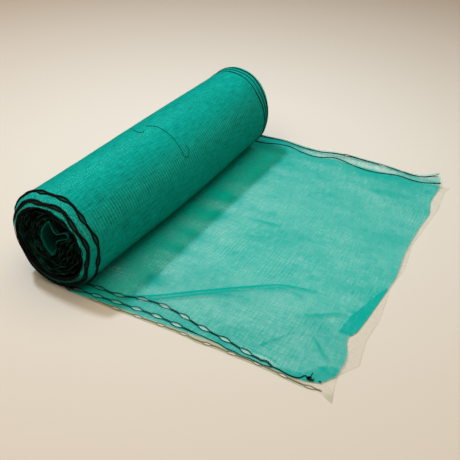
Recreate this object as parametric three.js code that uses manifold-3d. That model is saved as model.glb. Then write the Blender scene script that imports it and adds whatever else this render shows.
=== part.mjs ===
// Roll of safety mesh fencing: green knitted net wound into a roll that lies on the floor, its loose end drawn
// out flat beside it. Each long edge is a band with rows of tie eyelets, bound in black yarn, and a second,
// nearly clear ply lies under the loose end.
// Millimetres. X runs along the loose end, Y along the roll, and Z is up. The origin is on the floor, in the
// middle of the flat strip on which the roll rests.
import * as THREE from 'three';
import { mergeVertices } from 'three/addons/utils/BufferGeometryUtils.js';
import Module from 'manifold-3d';

const wasm = await Module();
wasm.setup();

const { clamp, degToRad, lerp, smoothstep } = THREE.MathUtils;

// The roll
const ROLL_RADIUS = 126.3;
const ROLL_SINK = 1.2; // how far its round is pressed flat where it rests
const ROLL_NEAR_END = -511;
const ROLL_FAR_END = 437.5;
const ROLL_FAR_LEAN = { slip: 31, angle: 150 }; // the turns slip out at the back of the far end, in at the front
const ROLL_FULL = { angle: 132, near: 5.7, far: 7.2, middle: -3 }; // fuller at the back, slacker half way along
const NEAR_DRAW = { reach: 42, depth: 26.4, front: -6.7, top: -4.2 }; // its near rim is drawn in
const ROLL_SIDES = 48;
const ROLL_STOPS = [0, 0.011, 0.026, 0.045, 0.16, 0.3, 0.44, 0.58, 0.72, 0.86, 1]; // shares of its length
const ROLL_AXIS_HEIGHT = ROLL_RADIUS - ROLL_SINK;

// Its uneven winding: low waves round the roll (lobes) and along it (waves)
const ROLL_LUMPS = [
  { height: 1.5, lobes: 2, waves: 1.5, shift: 0.4 },
  { height: 1.1, lobes: 3, waves: 2.5, shift: 2.1 },
  { height: 0.7, lobes: 5, waves: 1.0, shift: 4.0 },
];

// The wound turns that show at its ends
const RIM_WALL = 0.05; // the outer turn, as a share of the radius
const RIM_DEPTH = 8;
const TURN_GAP = 4.5;
const TURN_DEPTH = 12;
const TURN_FROM = 0.36; // as shares of the radius
const TURN_TO = 0.86;
const TURN_WOBBLE = 0.022;
const TURN_COUNT = 3;
const STEPS_PER_TURN = 15;

// The slack middle of the roll, drawn in to three folds: a point for each fold and each hollow between two
const CORE_DEPTH = 90;
const CORE_FOLDS = [
  { x: 4, z: 60 },
  { x: -20, z: 36 },
  { x: -21, z: 3 },
  { x: -5, z: -28 },
  { x: 9, z: -18 },
  { x: 26, z: 16 },
  { x: 54, z: 30 },
  { x: 50, z: 46 },
  { x: 22, z: 34 },
];

// The net and the yarn
const PIECE_GAP = 0.3;
const ROLL_GAP = 0.5;
const PAD_GAP = 1.3; // under an eyelet, which lies straight across the curve of the drawn-in rim
const UNDER_THICK = 1.0;
const NET_THICK = 1.5;
const YARN_THICK = 1.8;
const NET_LOW = UNDER_THICK + PIECE_GAP;
const NET_HIGH = NET_LOW + NET_THICK;
const YARN_LOW = NET_HIGH + PIECE_GAP;
const YARN_HIGH = YARN_LOW + YARN_THICK;

// The loose end: where the rows of yarn and the edge run, at stations along it
const SHEET_START = 40;
const UNDER_START = 28;
const NEAR_BAND = [
  { x: 36, inner: -465, outer: -496, edge: -508 },
  { x: 105, inner: -462, outer: -490, edge: -503 },
  { x: 160, inner: -464, outer: -487, edge: -500 },
  { x: 210, inner: -450, outer: -483, edge: -497 },
  { x: 270, inner: -442, outer: -480, edge: -496 },
  { x: 335, inner: -449, outer: -483, edge: -497 },
  { x: 400, inner: -463, outer: -487, edge: -498 },
  { x: 460, inner: -471, outer: -491, edge: -500 },
  { x: 520, inner: -480, outer: -496, edge: -503 },
  { x: 548, inner: -486, outer: -499, edge: -505 },
  { x: 625, inner: -494, edge: -505 },
  { x: 702, inner: -486, edge: -494 },
];
const FAR_BAND = [
  { x: 36, inner: 452, outer: 500, edge: 514 },
  { x: 110, inner: 456, outer: 498, edge: 512 },
  { x: 185, inner: 466, outer: 492, edge: 505 },
  { x: 240, inner: 453, outer: 486, edge: 500 },
  { x: 300, inner: 443, outer: 483, edge: 499 },
  { x: 355, inner: 458, outer: 490, edge: 507 },
  { x: 430, inner: 444, outer: 498, edge: 512 },
  { x: 510, inner: 433, outer: 494, edge: 508 },
  { x: 575, inner: 447, outer: 481, edge: 494 },
  { x: 640, inner: 440, outer: 472, edge: 486 },
  { x: 708, inner: 447, outer: 480, edge: 494 },
];
// Where each band parts from the plain net, beside the roll and at the cut end
const NEAR_SEAM = { start: -424, end: -450 };
const FAR_SEAM = { start: 426, end: 424 };
const CUT_END = [
  { x: 723, y: -455 },
  { x: 721, y: -390 },
  { x: 702, y: -333 },
  { x: 714, y: -290 },
  { x: 725, y: -130 },
  { x: 727, y: -50 },
  { x: 717, y: 60 },
  { x: 717, y: 190 },
  { x: 721, y: 275 },
  { x: 707, y: 345 },
  { x: 707, y: 430 },
];

// The clear ply below: its near edge and its cut end
const UNDER_NEAR = [
  { x: UNDER_START, y: -511 },
  { x: 170, y: -509 },
  { x: 430, y: -511 },
  { x: 640, y: -516 },
  { x: 742, y: -528 },
];
const UNDER_CUT = [
  { x: 742, y: -528 },
  { x: 725, y: -455 },
  { x: 754, y: -400 },
  { x: 741, y: -320 },
  { x: 745, y: -238 },
  { x: 730, y: -110 },
  { x: 737, y: -15 },
  { x: 723, y: 96 },
  { x: 729, y: 200 },
  { x: 737, y: 315 },
  { x: 728, y: 421 },
  { x: 737, y: 459 },
];
const UNDER_FAR = 458;
const UNDER_BAND = 30;

// How the loose end lifts off the floor: long low swells, and the far corner that turns up
const SWELLS = [
  { x: 716, y: 505, length: 62, width: 50, turn: 0, rise: 32 },
  { x: 360, y: 480, length: 70, width: 60, turn: 0, rise: 7 },
  { x: 150, y: 470, length: 60, width: 60, turn: 0, rise: 5 },
  { x: 545, y: 430, length: 70, width: 60, turn: -10, rise: 5 },
  { x: 330, y: 110, length: 150, width: 120, turn: 35, rise: 4 },
  { x: 590, y: 150, length: 120, width: 170, turn: 20, rise: 5 },
  { x: 725, y: 30, length: 60, width: 100, turn: 0, rise: 6 },
  { x: 715, y: -410, length: 70, width: 60, turn: 0, rise: 7 },
  { x: 370, y: -330, length: 230, width: 55, turn: 31, rise: 6 },
  { x: 610, y: -300, length: 70, width: 60, turn: 20, rise: 4 },
];
const GRID_CELL = 52;
const GRID_FROM = { x: 20, y: -546 };
const GRID_CELLS = { x: 14, y: 21 };
const TALL = 200;
const WIDE = 800; // past every edge of the loose end

// Narrow pinched creases in the net: start, middle and end of each
const CREASES = [
  { path: [[186, -438], [250, -424], [400, -315], [482, -252], [582, -222]], width: 11, rise: 3.5 },
  { path: [[518, -446], [546, -413], [577, -386]], width: 8, rise: 2.0 },
  { path: [[577, -317], [611, -290], [672, -269]], width: 8, rise: 2.0 },
  { path: [[635, -373], [660, -390], [686, -419]], width: 7, rise: 2.0 },
];

// Where the net is turned under and lies double
const TURNED_UNDER = [
  { path: [[WIDE, -322], [676, -316], [678, -275], [690, -222], [708, -150], [WIDE, -112]] },
  { path: [[580, -484], [636, -476], [664, -450], [684, -430], [WIDE, -436], [WIDE, -478], [640, -487]] },
];

// The eyelets, in yarn that parts round each hole and is twisted together between two. Those that stand open are
// given by their distances along the row.
const EYELET = { length: 30, width: 15, yarn: 3.0 };
const FAR_EYELET = { length: 28, width: 12, yarn: 2.7 };
const RIM_EYELET = { length: 30, width: 11.5, yarn: 2.5 };
const UNDER_EYELET = { length: 25, width: 9 };
const EYELET_TIP = 1.2; // yarn at each pointed end of an eyelet, in widths of yarn
const LINK_WIDTH = 4.6;
const LENS_STEPS = 3;
const evenly = (first, pitch, count) => Array.from({ length: count }, (_, i) => first + i * pitch);
const ROWS_ON_SHEET = [
  { name: 'near_inner', band: NEAR_BAND, column: 'inner', eyelet: EYELET, open: evenly(64, 61, 8) },
  { name: 'near_outer', band: NEAR_BAND, column: 'outer', eyelet: EYELET, open: evenly(22, 56.5, 6) },
  { name: 'far_inner', band: FAR_BAND, column: 'inner', eyelet: FAR_EYELET, open: [] },
  { name: 'far_outer', band: FAR_BAND, column: 'outer', eyelet: FAR_EYELET, open: [28, 350, 470, 658] },
];
const UNDER_ROW = { open: evenly(90, 64, 9), inset: 8 };

// The same rows where they pass round the roll: their distance from the near or far end
const ROW_ARC = { from: -60, to: 240 };
const ROW_SEGMENTS = ROLL_SIDES * (ROW_ARC.to - ROW_ARC.from) / 360;
const ROWS_ON_ROLL = [
  { name: 'near_inner', fromNear: 33, eyelets: 12, eyelet: EYELET },
  { name: 'near_outer', fromNear: 11, eyelets: 12, eyelet: RIM_EYELET },
  { name: 'far_inner', fromFar: 48, eyelets: 0 },
  { name: 'far_outer', fromFar: 12, eyelets: 0 },
];
const PLAIN_ROW_WIDTH = 3.4;
const PAD_MARGIN = 1;
const ROW_WAVE = { height: 2.5, lobes: 7 };

// The yarn's knotted end at the near corner of the cut end
const KNOT = { x: 672, y: -491, radius: 3.6 };
const KNOT_TAILS = [
  { reach: [5, 8], lift: 9, radius: 1.1 },
  { reach: [24, 3], lift: 1, radius: 1.2 },
];

// Two loose threads on the roll: angle round the roll from level at the front, and distance along it
const THREAD_RADIUS = 0.8;
const THREAD_SIDES = 8;
const THREADS = [
  {
    name: 'loose_thread_long',
    steps: 40,
    route: [
      [95.3, -73.3], [90.5, -65], [83.8, -59.5], [76.3, -58.3], [66.6, -59.8], [57.8, -61.5], [49.8, -64.1],
      [41.8, -67], [35.4, -70.4], [30.5, -68.3], [28.6, -59], [31.9, -47.6], [35.4, -41.2], [39.1, -40.1],
      [41.5, -43.1],
    ],
  },
  {
    name: 'loose_thread_short',
    steps: 14,
    route: [
      [104.1, -104.9], [99.5, -110.5], [96, -113.5], [91, -113.6], [89.3, -109], [89.5, -103.9],
      [91.7, -94.4],
    ],
  },
];

// Colours and finishes
const GREEN_NET = { color: 0x0f9a80, roughness: 0.75, metalness: 0 };
const PALE_NET = { color: 0x4fb8a0, roughness: 0.75, metalness: 0 };
const BLACK_YARN = { color: 0x151614, roughness: 0.85, metalness: 0 };
const CLEAR_NET = { color: 0xcbc8b0, roughness: 0.7, metalness: 0 };

const part = new THREE.Group();

// Helpers for closed solids

function toSolid(geometry) {
  const bare = geometry.clone();
  bare.deleteAttribute('normal');
  bare.deleteAttribute('uv');
  const merged = mergeVertices(bare, 1e-3);
  return new wasm.Manifold(new wasm.Mesh({
    numProp: 3,
    vertProperties: new Float32Array(merged.attributes.position.array),
    triVerts: new Uint32Array(merged.index.array),
  }));
}

function addPiece(name, solid, finish) {
  const { vertProperties, triVerts } = solid.getMesh();
  const geometry = new THREE.BufferGeometry();
  geometry.setAttribute('position', new THREE.BufferAttribute(new Float32Array(vertProperties), 3));
  geometry.setIndex(new THREE.BufferAttribute(new Uint32Array(triVerts), 1));
  geometry.computeVertexNormals();
  const mesh = new THREE.Mesh(geometry, new THREE.MeshStandardMaterial(finish));
  mesh.name = name;
  part.add(mesh);
}

function movePoints(geometry, place) {
  const position = geometry.attributes.position;
  const point = new THREE.Vector3();
  for (let i = 0; i < position.count; i += 1) {
    point.fromBufferAttribute(position, i);
    place(point);
    position.setXYZ(i, point.x, point.y, point.z);
  }
  return geometry;
}

const join = (solid, others) => others.reduce((all, next) => all.add(next), solid);
const cut = (solid, others) => others.reduce((rest, next) => rest.subtract(next), solid);

// An upright prism on an outline in plan
function upright(outline) {
  const shape = outline instanceof THREE.Shape ? outline : new THREE.Shape(outline);
  const options = { depth: TALL, bevelEnabled: false, curveSegments: LENS_STEPS };
  return new THREE.ExtrudeGeometry(shape, options).translate(0, 0, -TALL / 2);
}

const plan = (pairs) => pairs.map(([x, y]) => new THREE.Vector2(x, y));
const curveThrough = (points) => new THREE.SplineCurve(points);

// The line that one column of a band's table gives, over the stations where it has a value
function column(table, name) {
  const stations = table.filter((row) => row[name] !== undefined);
  return curveThrough(stations.map((row) => new THREE.Vector2(row.x, row[name])));
}

// An almond outline, pointed at both ends
function almond(length, width) {
  const shape = new THREE.Shape();
  shape.moveTo(-length / 2, 0);
  shape.quadraticCurveTo(0, -width, length / 2, 0);
  shape.quadraticCurveTo(0, width, -length / 2, 0);
  return shape;
}

// The clear opening that the yarn leaves in an eyelet
function holeIn({ length, width, yarn }) {
  return { length: length - 2 * EYELET_TIP * yarn, width: width - 2 * yarn };
}

// A band along a curve in plan, as wide as widthAt says at each share of its length
function ribbon(curve, steps, widthAt) {
  const left = [];
  const right = [];
  for (let i = 0; i <= steps; i += 1) {
    const share = i / steps;
    const point = curve.getPointAt(share);
    const tangent = curve.getTangentAt(share);
    const side = new THREE.Vector2(-tangent.y, tangent.x).multiplyScalar(widthAt(share) / 2);
    left.push(point.clone().add(side));
    right.unshift(point.clone().sub(side));
  }
  return [...right.reverse(), ...left.reverse()];
}

// The roll

function rollRadius(angle, y) {
  const share = (y - ROLL_NEAR_END) / (ROLL_FAR_END - ROLL_NEAR_END);
  const upper = (1 + Math.sin(angle)) / 2;
  let lump = 0;
  for (const { height, lobes, waves, shift } of ROLL_LUMPS) {
    lump += height * upper * Math.sin(lobes * angle + shift) * Math.cos(waves * Math.PI * share + shift);
  }
  const swell = lerp(ROLL_FULL.near, ROLL_FULL.far, share) + ROLL_FULL.middle * 4 * share * (1 - share);
  const full = swell * (1 + Math.cos(angle - degToRad(ROLL_FULL.angle))) / 2;
  const drawn = NEAR_DRAW.depth + NEAR_DRAW.front * Math.cos(angle) + NEAR_DRAW.top * Math.sin(angle);
  const nearness = clamp(1 - (y - ROLL_NEAR_END) / NEAR_DRAW.reach, 0, 1);
  return ROLL_RADIUS + full + lump - drawn * nearness ** 2;
}

// Where the far end lies at an angle, at a share of the way out from the axis
function farEnd(angle, reach = 1) {
  return ROLL_FAR_END + reach * ROLL_FAR_LEAN.slip * Math.cos(angle - degToRad(ROLL_FAR_LEAN.angle));
}

const nearEnd = () => ROLL_NEAR_END;

// A drum of the roll's uneven section between two ends, at a share of its radius
function drum(radiusShare, from, to, stops) {
  const bands = stops.length - 1;
  const geometry = new THREE.CylinderGeometry(1, 1, 1, ROLL_SIDES, bands);
  return movePoints(geometry, (point) => {
    const angle = Math.atan2(point.z, point.x);
    const reach = Math.hypot(point.x, point.z);
    const share = stops[Math.round((point.y + 0.5) * bands)];
    const y = lerp(from(angle, reach), to(angle, reach), share);
    const radius = reach * radiusShare * rollRadius(angle, y);
    const height = ROLL_AXIS_HEIGHT + radius * Math.sin(angle);
    point.set(radius * Math.cos(angle), y, Math.max(height, 0));
  });
}

// The gap between the wound turns at one end, as a spiral slot in the floor of that end's recess
function turnGap(end, inward) {
  const points = [];
  const steps = TURN_COUNT * STEPS_PER_TURN;
  for (let i = 0; i <= steps; i += 1) {
    const angle = i / STEPS_PER_TURN * 2 * Math.PI;
    const wobble = TURN_WOBBLE * Math.sin(3 * angle + 1) * Math.cos(0.7 * angle);
    const radius = (lerp(TURN_FROM, TURN_TO, i / steps) + wobble) * rollRadius(angle, end(angle));
    points.push(new THREE.Vector3(radius * Math.cos(angle), 0, radius * Math.sin(angle)));
  }
  const section = new THREE.Shape(plan([
    [-TURN_DEPTH, -TURN_GAP / 2],
    [TURN_DEPTH, -TURN_GAP / 2],
    [TURN_DEPTH, TURN_GAP / 2],
    [-TURN_DEPTH, TURN_GAP / 2],
  ]));
  const extrudePath = new THREE.CatmullRomCurve3(points);
  const slot = new THREE.ExtrudeGeometry(section, { steps, extrudePath, bevelEnabled: false });
  return movePoints(slot, (point) => {
    const reach = Math.hypot(point.x, point.z) / ROLL_RADIUS;
    point.y += end(Math.atan2(point.z, point.x), reach) + inward;
    point.z += ROLL_AXIS_HEIGHT;
  });
}

function corePocket(endAt) {
  const corners = CORE_FOLDS.map(({ x, z }) => new THREE.Vector3(x, ROLL_AXIS_HEIGHT + z, 0));
  const outline = new THREE.CatmullRomCurve3(corners, true, 'catmullrom', 0.5).getSpacedPoints(26);
  const shape = new THREE.Shape(outline.map((point) => new THREE.Vector2(point.x, point.y)));
  const geometry = new THREE.ExtrudeGeometry(shape, { depth: 2 * CORE_DEPTH, bevelEnabled: false });
  return geometry.rotateX(Math.PI / 2).translate(0, endAt + CORE_DEPTH, 0);
}

function makeRoll() {
  const past = (end, distance) => (angle, reach) => end(angle, reach) + distance;
  const recess = (end) => drum(1 - RIM_WALL, past(end, -RIM_DEPTH), past(end, RIM_DEPTH), [0, 1]);
  const body = toSolid(drum(1, nearEnd, farEnd, ROLL_STOPS));
  const hollows = [
    recess(nearEnd),
    recess(farEnd),
    turnGap(nearEnd, RIM_DEPTH),
    turnGap(farEnd, -RIM_DEPTH),
    corePocket(ROLL_NEAR_END),
    corePocket(ROLL_FAR_END),
  ];
  return cut(body, hollows.map(toSolid));
}

// A strip of yarn round the roll, a given width, on the line that lineAt gives for each angle
function rollStrip(width, lineAt, gap) {
  const geometry = new THREE.BoxGeometry(1, width, 1, ROW_SEGMENTS, 1, 1);
  return movePoints(geometry, (point) => {
    const angle = degToRad(lerp(ROW_ARC.to, ROW_ARC.from, point.x + 0.5));
    const y = lineAt(angle) + point.y;
    const lift = point.z < 0 ? gap : gap + YARN_THICK;
    const radius = rollRadius(angle, y) + lift;
    const height = ROLL_AXIS_HEIGHT + radius * Math.sin(angle);
    point.set(radius * Math.cos(angle), y, height);
  });
}

// An almond prism standing out of the roll at an angle
function rollAlmond(length, width, angle, line) {
  return upright(almond(length, width))
    .translate(0, 0, TALL / 2 + ROLL_RADIUS / 2)
    .rotateY(Math.PI / 2 - angle)
    .translate(0, line, ROLL_AXIS_HEIGHT);
}

function rollRow({ fromNear, fromFar, eyelets, eyelet }) {
  const lineAt = (angle) => {
    const wave = ROW_WAVE.height * Math.sin(ROW_WAVE.lobes * angle);
    return wave + (fromFar === undefined ? ROLL_NEAR_END + fromNear : farEnd(angle) - fromFar);
  };
  if (eyelets === 0) {
    return toSolid(rollStrip(PLAIN_ROW_WIDTH, lineAt, ROLL_GAP));
  }
  const pads = [];
  const holes = [];
  const spacing = (ROW_ARC.to - ROW_ARC.from) / eyelets;
  for (let i = 0; i < eyelets; i += 1) {
    const angle = degToRad(ROW_ARC.from + (i + 0.5) * spacing);
    const hole = holeIn(eyelet);
    pads.push(toSolid(rollAlmond(eyelet.length, eyelet.width, angle, lineAt(angle))));
    holes.push(toSolid(rollAlmond(hole.length, hole.width, angle, lineAt(angle))));
  }
  const wide = toSolid(rollStrip(eyelet.width + PAD_MARGIN, lineAt, PAD_GAP));
  const links = toSolid(rollStrip(LINK_WIDTH, lineAt, PAD_GAP));
  return cut(join(links, pads.map((pad) => wide.intersect(pad))), holes);
}

// The loose end

function swellAt(x, y) {
  let height = 0;
  for (const swell of SWELLS) {
    const turn = degToRad(swell.turn);
    const along = (x - swell.x) * Math.cos(turn) + (y - swell.y) * Math.sin(turn);
    const across = (y - swell.y) * Math.cos(turn) - (x - swell.x) * Math.sin(turn);
    height += swell.rise * Math.exp(-((along / swell.length) ** 2) - (across / swell.width) ** 2);
  }
  return height * smoothstep(x, SHEET_START + 10, SHEET_START + 110);
}

// A layer over the whole loose end, between two heights above its swells. Every layer has the same grid, so two
// layers never cross.
function layer(low, high) {
  const wide = GRID_CELL * GRID_CELLS.x;
  const deep = GRID_CELL * GRID_CELLS.y;
  const top = new THREE.PlaneGeometry(wide, deep, GRID_CELLS.x, GRID_CELLS.y);
  top.translate(GRID_FROM.x + wide / 2, GRID_FROM.y + deep / 2, 0);
  const count = top.attributes.position.count;
  const points = [];
  for (const offset of [high, low]) {
    for (let i = 0; i < count; i += 1) {
      const x = top.attributes.position.getX(i);
      const y = top.attributes.position.getY(i);
      points.push(x, y, swellAt(x, y) + offset);
    }
  }
  const faces = [...top.index.array];
  for (let i = 0; i < top.index.count; i += 3) {
    const [a, b, c] = top.index.array.slice(i, i + 3);
    faces.push(a + count, c + count, b + count);
  }
  const across = GRID_CELLS.x + 1;
  const rim = [];
  for (let i = 0; i < GRID_CELLS.x; i += 1) rim.push(i);
  for (let i = 0; i < GRID_CELLS.y; i += 1) rim.push((i + 1) * across - 1);
  for (let i = 0; i < GRID_CELLS.x; i += 1) rim.push(count - 1 - i);
  for (let i = GRID_CELLS.y; i > 0; i -= 1) rim.push(i * across);
  rim.forEach((here, i) => {
    const next = rim[(i + 1) % rim.length];
    faces.push(here, next, next + count, here, next + count, here + count);
  });
  const geometry = new THREE.BufferGeometry();
  geometry.setAttribute('position', new THREE.Float32BufferAttribute(points, 3));
  geometry.setIndex(faces);
  return toSolid(geometry);
}

const EDGE_STEPS = 24;
const nearEdge = column(NEAR_BAND, 'edge').getPoints(EDGE_STEPS);
const farEdge = column(FAR_BAND, 'edge').getPoints(EDGE_STEPS);
const cutEnd = curveThrough(CUT_END.map(({ x, y }) => new THREE.Vector2(x, y))).getPoints(EDGE_STEPS);

// The whole green sheet in plan, from under the roll to the cut end
function sheetOutline() {
  const start = plan([[SHEET_START, farEdge[0].y], [SHEET_START, nearEdge[0].y]]);
  return [...start, ...nearEdge.slice(1), ...cutEnd, ...farEdge.slice(1).reverse()];
}

// The part of the plan that lies beyond a seam, towards the near or far edge
function beyondSeam({ start, end }, clearance) {
  const side = Math.sign(start);
  const beyond = side * WIDE;
  const outline = plan([
    [SHEET_START - 1, start - side * clearance],
    [WIDE, end - side * clearance],
    [WIDE, beyond],
    [SHEET_START - 1, beyond],
  ]);
  return toSolid(upright(outline));
}

// Almonds along a row, at given distances
function almondsAlong(curve, distances, length, width) {
  return distances.map((distance) => {
    const share = distance / curve.getLength();
    const { x, y } = curve.getPointAt(share);
    const turn = curve.getTangentAt(share).angle();
    return toSolid(upright(almond(length, width)).rotateZ(turn).translate(x, y, 0));
  });
}

const rowCurve = (row) => column(row.band, row.column);

function rowHoles(row) {
  const { length, width } = holeIn(row.eyelet);
  return almondsAlong(rowCurve(row), row.open, length, width);
}

const sheet = toSolid(upright(sheetOutline()));
const yarnLayer = layer(YARN_LOW, YARN_HIGH).intersect(sheet);

// The green net, with its creases and with the places where it lies double
function makeNet() {
  const layers = [layer(NET_LOW, NET_HIGH)];
  for (const { path } of TURNED_UNDER) {
    layers.push(layer(NET_LOW, NET_HIGH + NET_THICK).intersect(toSolid(upright(plan(path)))));
  }
  for (const { path, width, rise } of CREASES) {
    const taper = (share) => 0.6 + width * Math.sin(Math.PI * share) ** 0.6;
    const foot = ribbon(curveThrough(plan(path)), 2 * path.length, taper);
    layers.push(layer(NET_LOW, NET_HIGH + rise).intersect(toSolid(upright(foot))));
  }
  return join(layers[0], layers.slice(1)).intersect(sheet);
}

function makeBand(net, band, seam) {
  const rows = ROWS_ON_SHEET.filter((row) => row.band === band);
  return cut(net.intersect(beyondSeam(seam, 0)), rows.flatMap(rowHoles));
}

function makeRow(row) {
  const curve = rowCurve(row);
  const links = toSolid(upright(ribbon(curve, EDGE_STEPS, () => LINK_WIDTH)));
  const pads = almondsAlong(curve, row.open, row.eyelet.length, row.eyelet.width);
  return yarnLayer.intersect(cut(join(links, pads), rowHoles(row)));
}

// The yarn's end is tied off in a small knot, with two short tails
function knottedEnd() {
  const base = swellAt(KNOT.x, KNOT.y) + YARN_LOW;
  const knot = new THREE.SphereGeometry(KNOT.radius, 8, 5)
    .scale(1.3, 1, 0.75)
    .translate(KNOT.x, KNOT.y, base + 0.75 * KNOT.radius);
  const tails = [];
  for (const { reach, lift, radius } of KNOT_TAILS) {
    const from = new THREE.Vector3(KNOT.x, KNOT.y, base + KNOT.radius);
    const to = from.clone().add(new THREE.Vector3(reach[0], reach[1], lift - KNOT.radius + radius));
    const bend = from.clone().lerp(to, 0.5).add(new THREE.Vector3(2, 0, 1));
    const section = new THREE.Shape().absarc(0, 0, radius, 0, 2 * Math.PI);
    const extrudePath = new THREE.QuadraticBezierCurve3(from, bend, to);
    const options = { steps: 4, extrudePath, bevelEnabled: false, curveSegments: 3 };
    tails.push(toSolid(new THREE.ExtrudeGeometry(section, options)));
  }
  return join(toSolid(knot), tails);
}

// The clear ply is flat, and its near edge is a band with eyelets of its own
function makeUnderPly() {
  const point = ({ x, y }) => new THREE.Vector2(x, y);
  const edge = curveThrough(UNDER_NEAR.map(point));
  const outline = [
    ...edge.getPoints(EDGE_STEPS),
    ...UNDER_CUT.slice(1).map(point),
    new THREE.Vector2(UNDER_START, UNDER_FAR),
  ];
  const shape = new THREE.Shape(outline);
  const ply = toSolid(new THREE.ExtrudeGeometry(shape, { depth: UNDER_THICK, bevelEnabled: false }));
  const seamAt = (distance) => [
    ...edge.getPoints(EDGE_STEPS).map(({ x, y }) => new THREE.Vector2(x, y + distance)),
    ...plan([[WIDE, UNDER_NEAR.at(-1).y + distance], [WIDE, -WIDE], [UNDER_START, -WIDE]]),
  ];
  const shifted = curveThrough(UNDER_NEAR.map(({ x, y }) => new THREE.Vector2(x, y + UNDER_ROW.inset)));
  const holes = almondsAlong(shifted, UNDER_ROW.open, UNDER_EYELET.length, UNDER_EYELET.width);
  addPiece('under_ply', ply.subtract(toSolid(upright(seamAt(UNDER_BAND + PIECE_GAP)))), CLEAR_NET);
  const band = ply.intersect(toSolid(upright(seamAt(UNDER_BAND))));
  addPiece('under_band', cut(band, holes), CLEAR_NET);
}

function makeThread({ route, steps }) {
  const lift = ROLL_GAP + THREAD_RADIUS;
  const points = route.map(([degrees, y]) => {
    const angle = degToRad(degrees);
    const radius = rollRadius(angle, y) + lift;
    return new THREE.Vector3(radius * Math.cos(angle), y, ROLL_AXIS_HEIGHT + radius * Math.sin(angle));
  });
  const corner = (i) => i / THREAD_SIDES * 2 * Math.PI;
  const ring = Array.from({ length: THREAD_SIDES }, (_, i) => new THREE.Vector2(
    THREAD_RADIUS * Math.cos(corner(i)),
    THREAD_RADIUS * Math.sin(corner(i)),
  ));
  const extrudePath = new THREE.CatmullRomCurve3(points);
  const options = { steps, extrudePath, bevelEnabled: false };
  return toSolid(new THREE.ExtrudeGeometry(new THREE.Shape(ring), options));
}

addPiece('roll', makeRoll(), GREEN_NET);
for (const row of ROWS_ON_ROLL) {
  addPiece(`roll_row_${row.name}`, rollRow(row), BLACK_YARN);
}
const net = makeNet();
addPiece('loose_panel', cut(net, [NEAR_SEAM, FAR_SEAM].map((seam) => beyondSeam(seam, PIECE_GAP))), PALE_NET);
addPiece('band_near', makeBand(net, NEAR_BAND, NEAR_SEAM), PALE_NET);
addPiece('band_far', makeBand(net, FAR_BAND, FAR_SEAM), PALE_NET);
for (const row of ROWS_ON_SHEET) {
  const yarn = makeRow(row);
  addPiece(`eyelet_row_${row.name}`, row.name === 'near_inner' ? yarn.add(knottedEnd()) : yarn, BLACK_YARN);
}
makeUnderPly();
for (const thread of THREADS) {
  addPiece(thread.name, makeThread(thread), BLACK_YARN);
}

export default part;
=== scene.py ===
# %% [markdown]
# # A roll of safety mesh fencing
# Close knitted green net is wound into a loose roll, and its free end is drawn out flat beside it. Black yarn binds
# two rows of tie eyelets along each edge, and a second, nearly clear ply lies under the free end. The frame gives
# the solids and their places, and this lesson dresses them as cloth and yarn.

# %% Load the frame
from math import cos, pi, radians, sin

import bpy
import numpy as np
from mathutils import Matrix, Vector, noise


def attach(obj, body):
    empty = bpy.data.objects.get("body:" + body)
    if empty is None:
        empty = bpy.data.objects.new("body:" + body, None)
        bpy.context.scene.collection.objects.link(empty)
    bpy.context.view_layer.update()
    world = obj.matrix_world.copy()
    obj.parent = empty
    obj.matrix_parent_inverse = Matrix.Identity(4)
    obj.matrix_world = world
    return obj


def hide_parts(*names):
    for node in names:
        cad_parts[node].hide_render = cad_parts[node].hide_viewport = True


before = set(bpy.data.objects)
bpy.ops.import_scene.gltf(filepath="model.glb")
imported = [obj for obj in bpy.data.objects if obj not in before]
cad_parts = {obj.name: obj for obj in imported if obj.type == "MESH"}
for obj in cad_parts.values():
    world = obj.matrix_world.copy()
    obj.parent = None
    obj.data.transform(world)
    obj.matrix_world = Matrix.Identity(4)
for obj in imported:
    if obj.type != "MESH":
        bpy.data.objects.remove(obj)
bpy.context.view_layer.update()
MM = 0.001

# %% [markdown]
# ## Camera
# The photo looks down on the roll from its open end. A camera can be aimed with a constraint, but plain angles are
# easier to read here: a turn about the upright, then a dip below level. The frame is square.

# %% Camera
CAMERA_PLACE = (1.010, -1.430, 1.036)
CAMERA_TURN, CAMERA_DIP = radians(29.16), radians(33.74)
scene = bpy.context.scene


def new_object(data, place=(0, 0, 0), turn=(0, 0, 0)):
    """Puts a camera, a light or a curve in the scene."""
    made = bpy.data.objects.new(data.name, data)
    made.location, made.rotation_euler = place, turn
    scene.collection.objects.link(made)
    return made


lens = bpy.data.cameras.new("camera")
lens.sensor_width, lens.lens = 36, 52.04
scene.camera = new_object(lens, CAMERA_PLACE, (pi / 2 - CAMERA_DIP, 0, CAMERA_TURN))
scene.view_settings.view_transform = "Standard"
print("camera", CAMERA_PLACE)

# %% [markdown]
# ## Soft steps and hills
# Cloth has few hard borders. A smooth step and a hill that falls off on both sides draw all the soft ones below. The
# places of a mesh are kept as grids of numbers, so one line of arithmetic moves every corner at once.


# %% Soft steps and hills
def smooth_step(value, low, high):
    share = np.clip((value - low) / (high - low), 0, 1)
    return share * share * (3 - 2 * share)


def rise(value, low, high):
    """0 up to a low place and 1 past a high one; both are in millimetres."""
    return smooth_step(value, low * MM, high * MM)


def fall(value, low, high):
    return 1 - rise(value, low, high)


def hill(value, middle, reach):
    return np.exp(-((value - middle) / reach) ** 2)


def turn_from(angle, middle):
    """How far an angle is from another, the short way round."""
    return np.angle(np.exp(1j * (angle - middle)))


def points_from(*parts):
    """Points from their parts, all spread to one grid."""
    return np.stack(np.broadcast_arrays(*parts), axis=-1)


def soft_noise(points, scale, seed):
    """Smooth noise between about -1 and 1 at each point, the same on each run."""
    shift = Vector((17.3 * seed, 5.1 * seed, 9.7 * seed))
    values = [noise.noise(Vector(p) + shift) for p in points.reshape(-1, 3) * scale]
    return np.array(values).reshape(points.shape[:-1])


print("half way up a step:", smooth_step(0.5, 0, 1))

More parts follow.
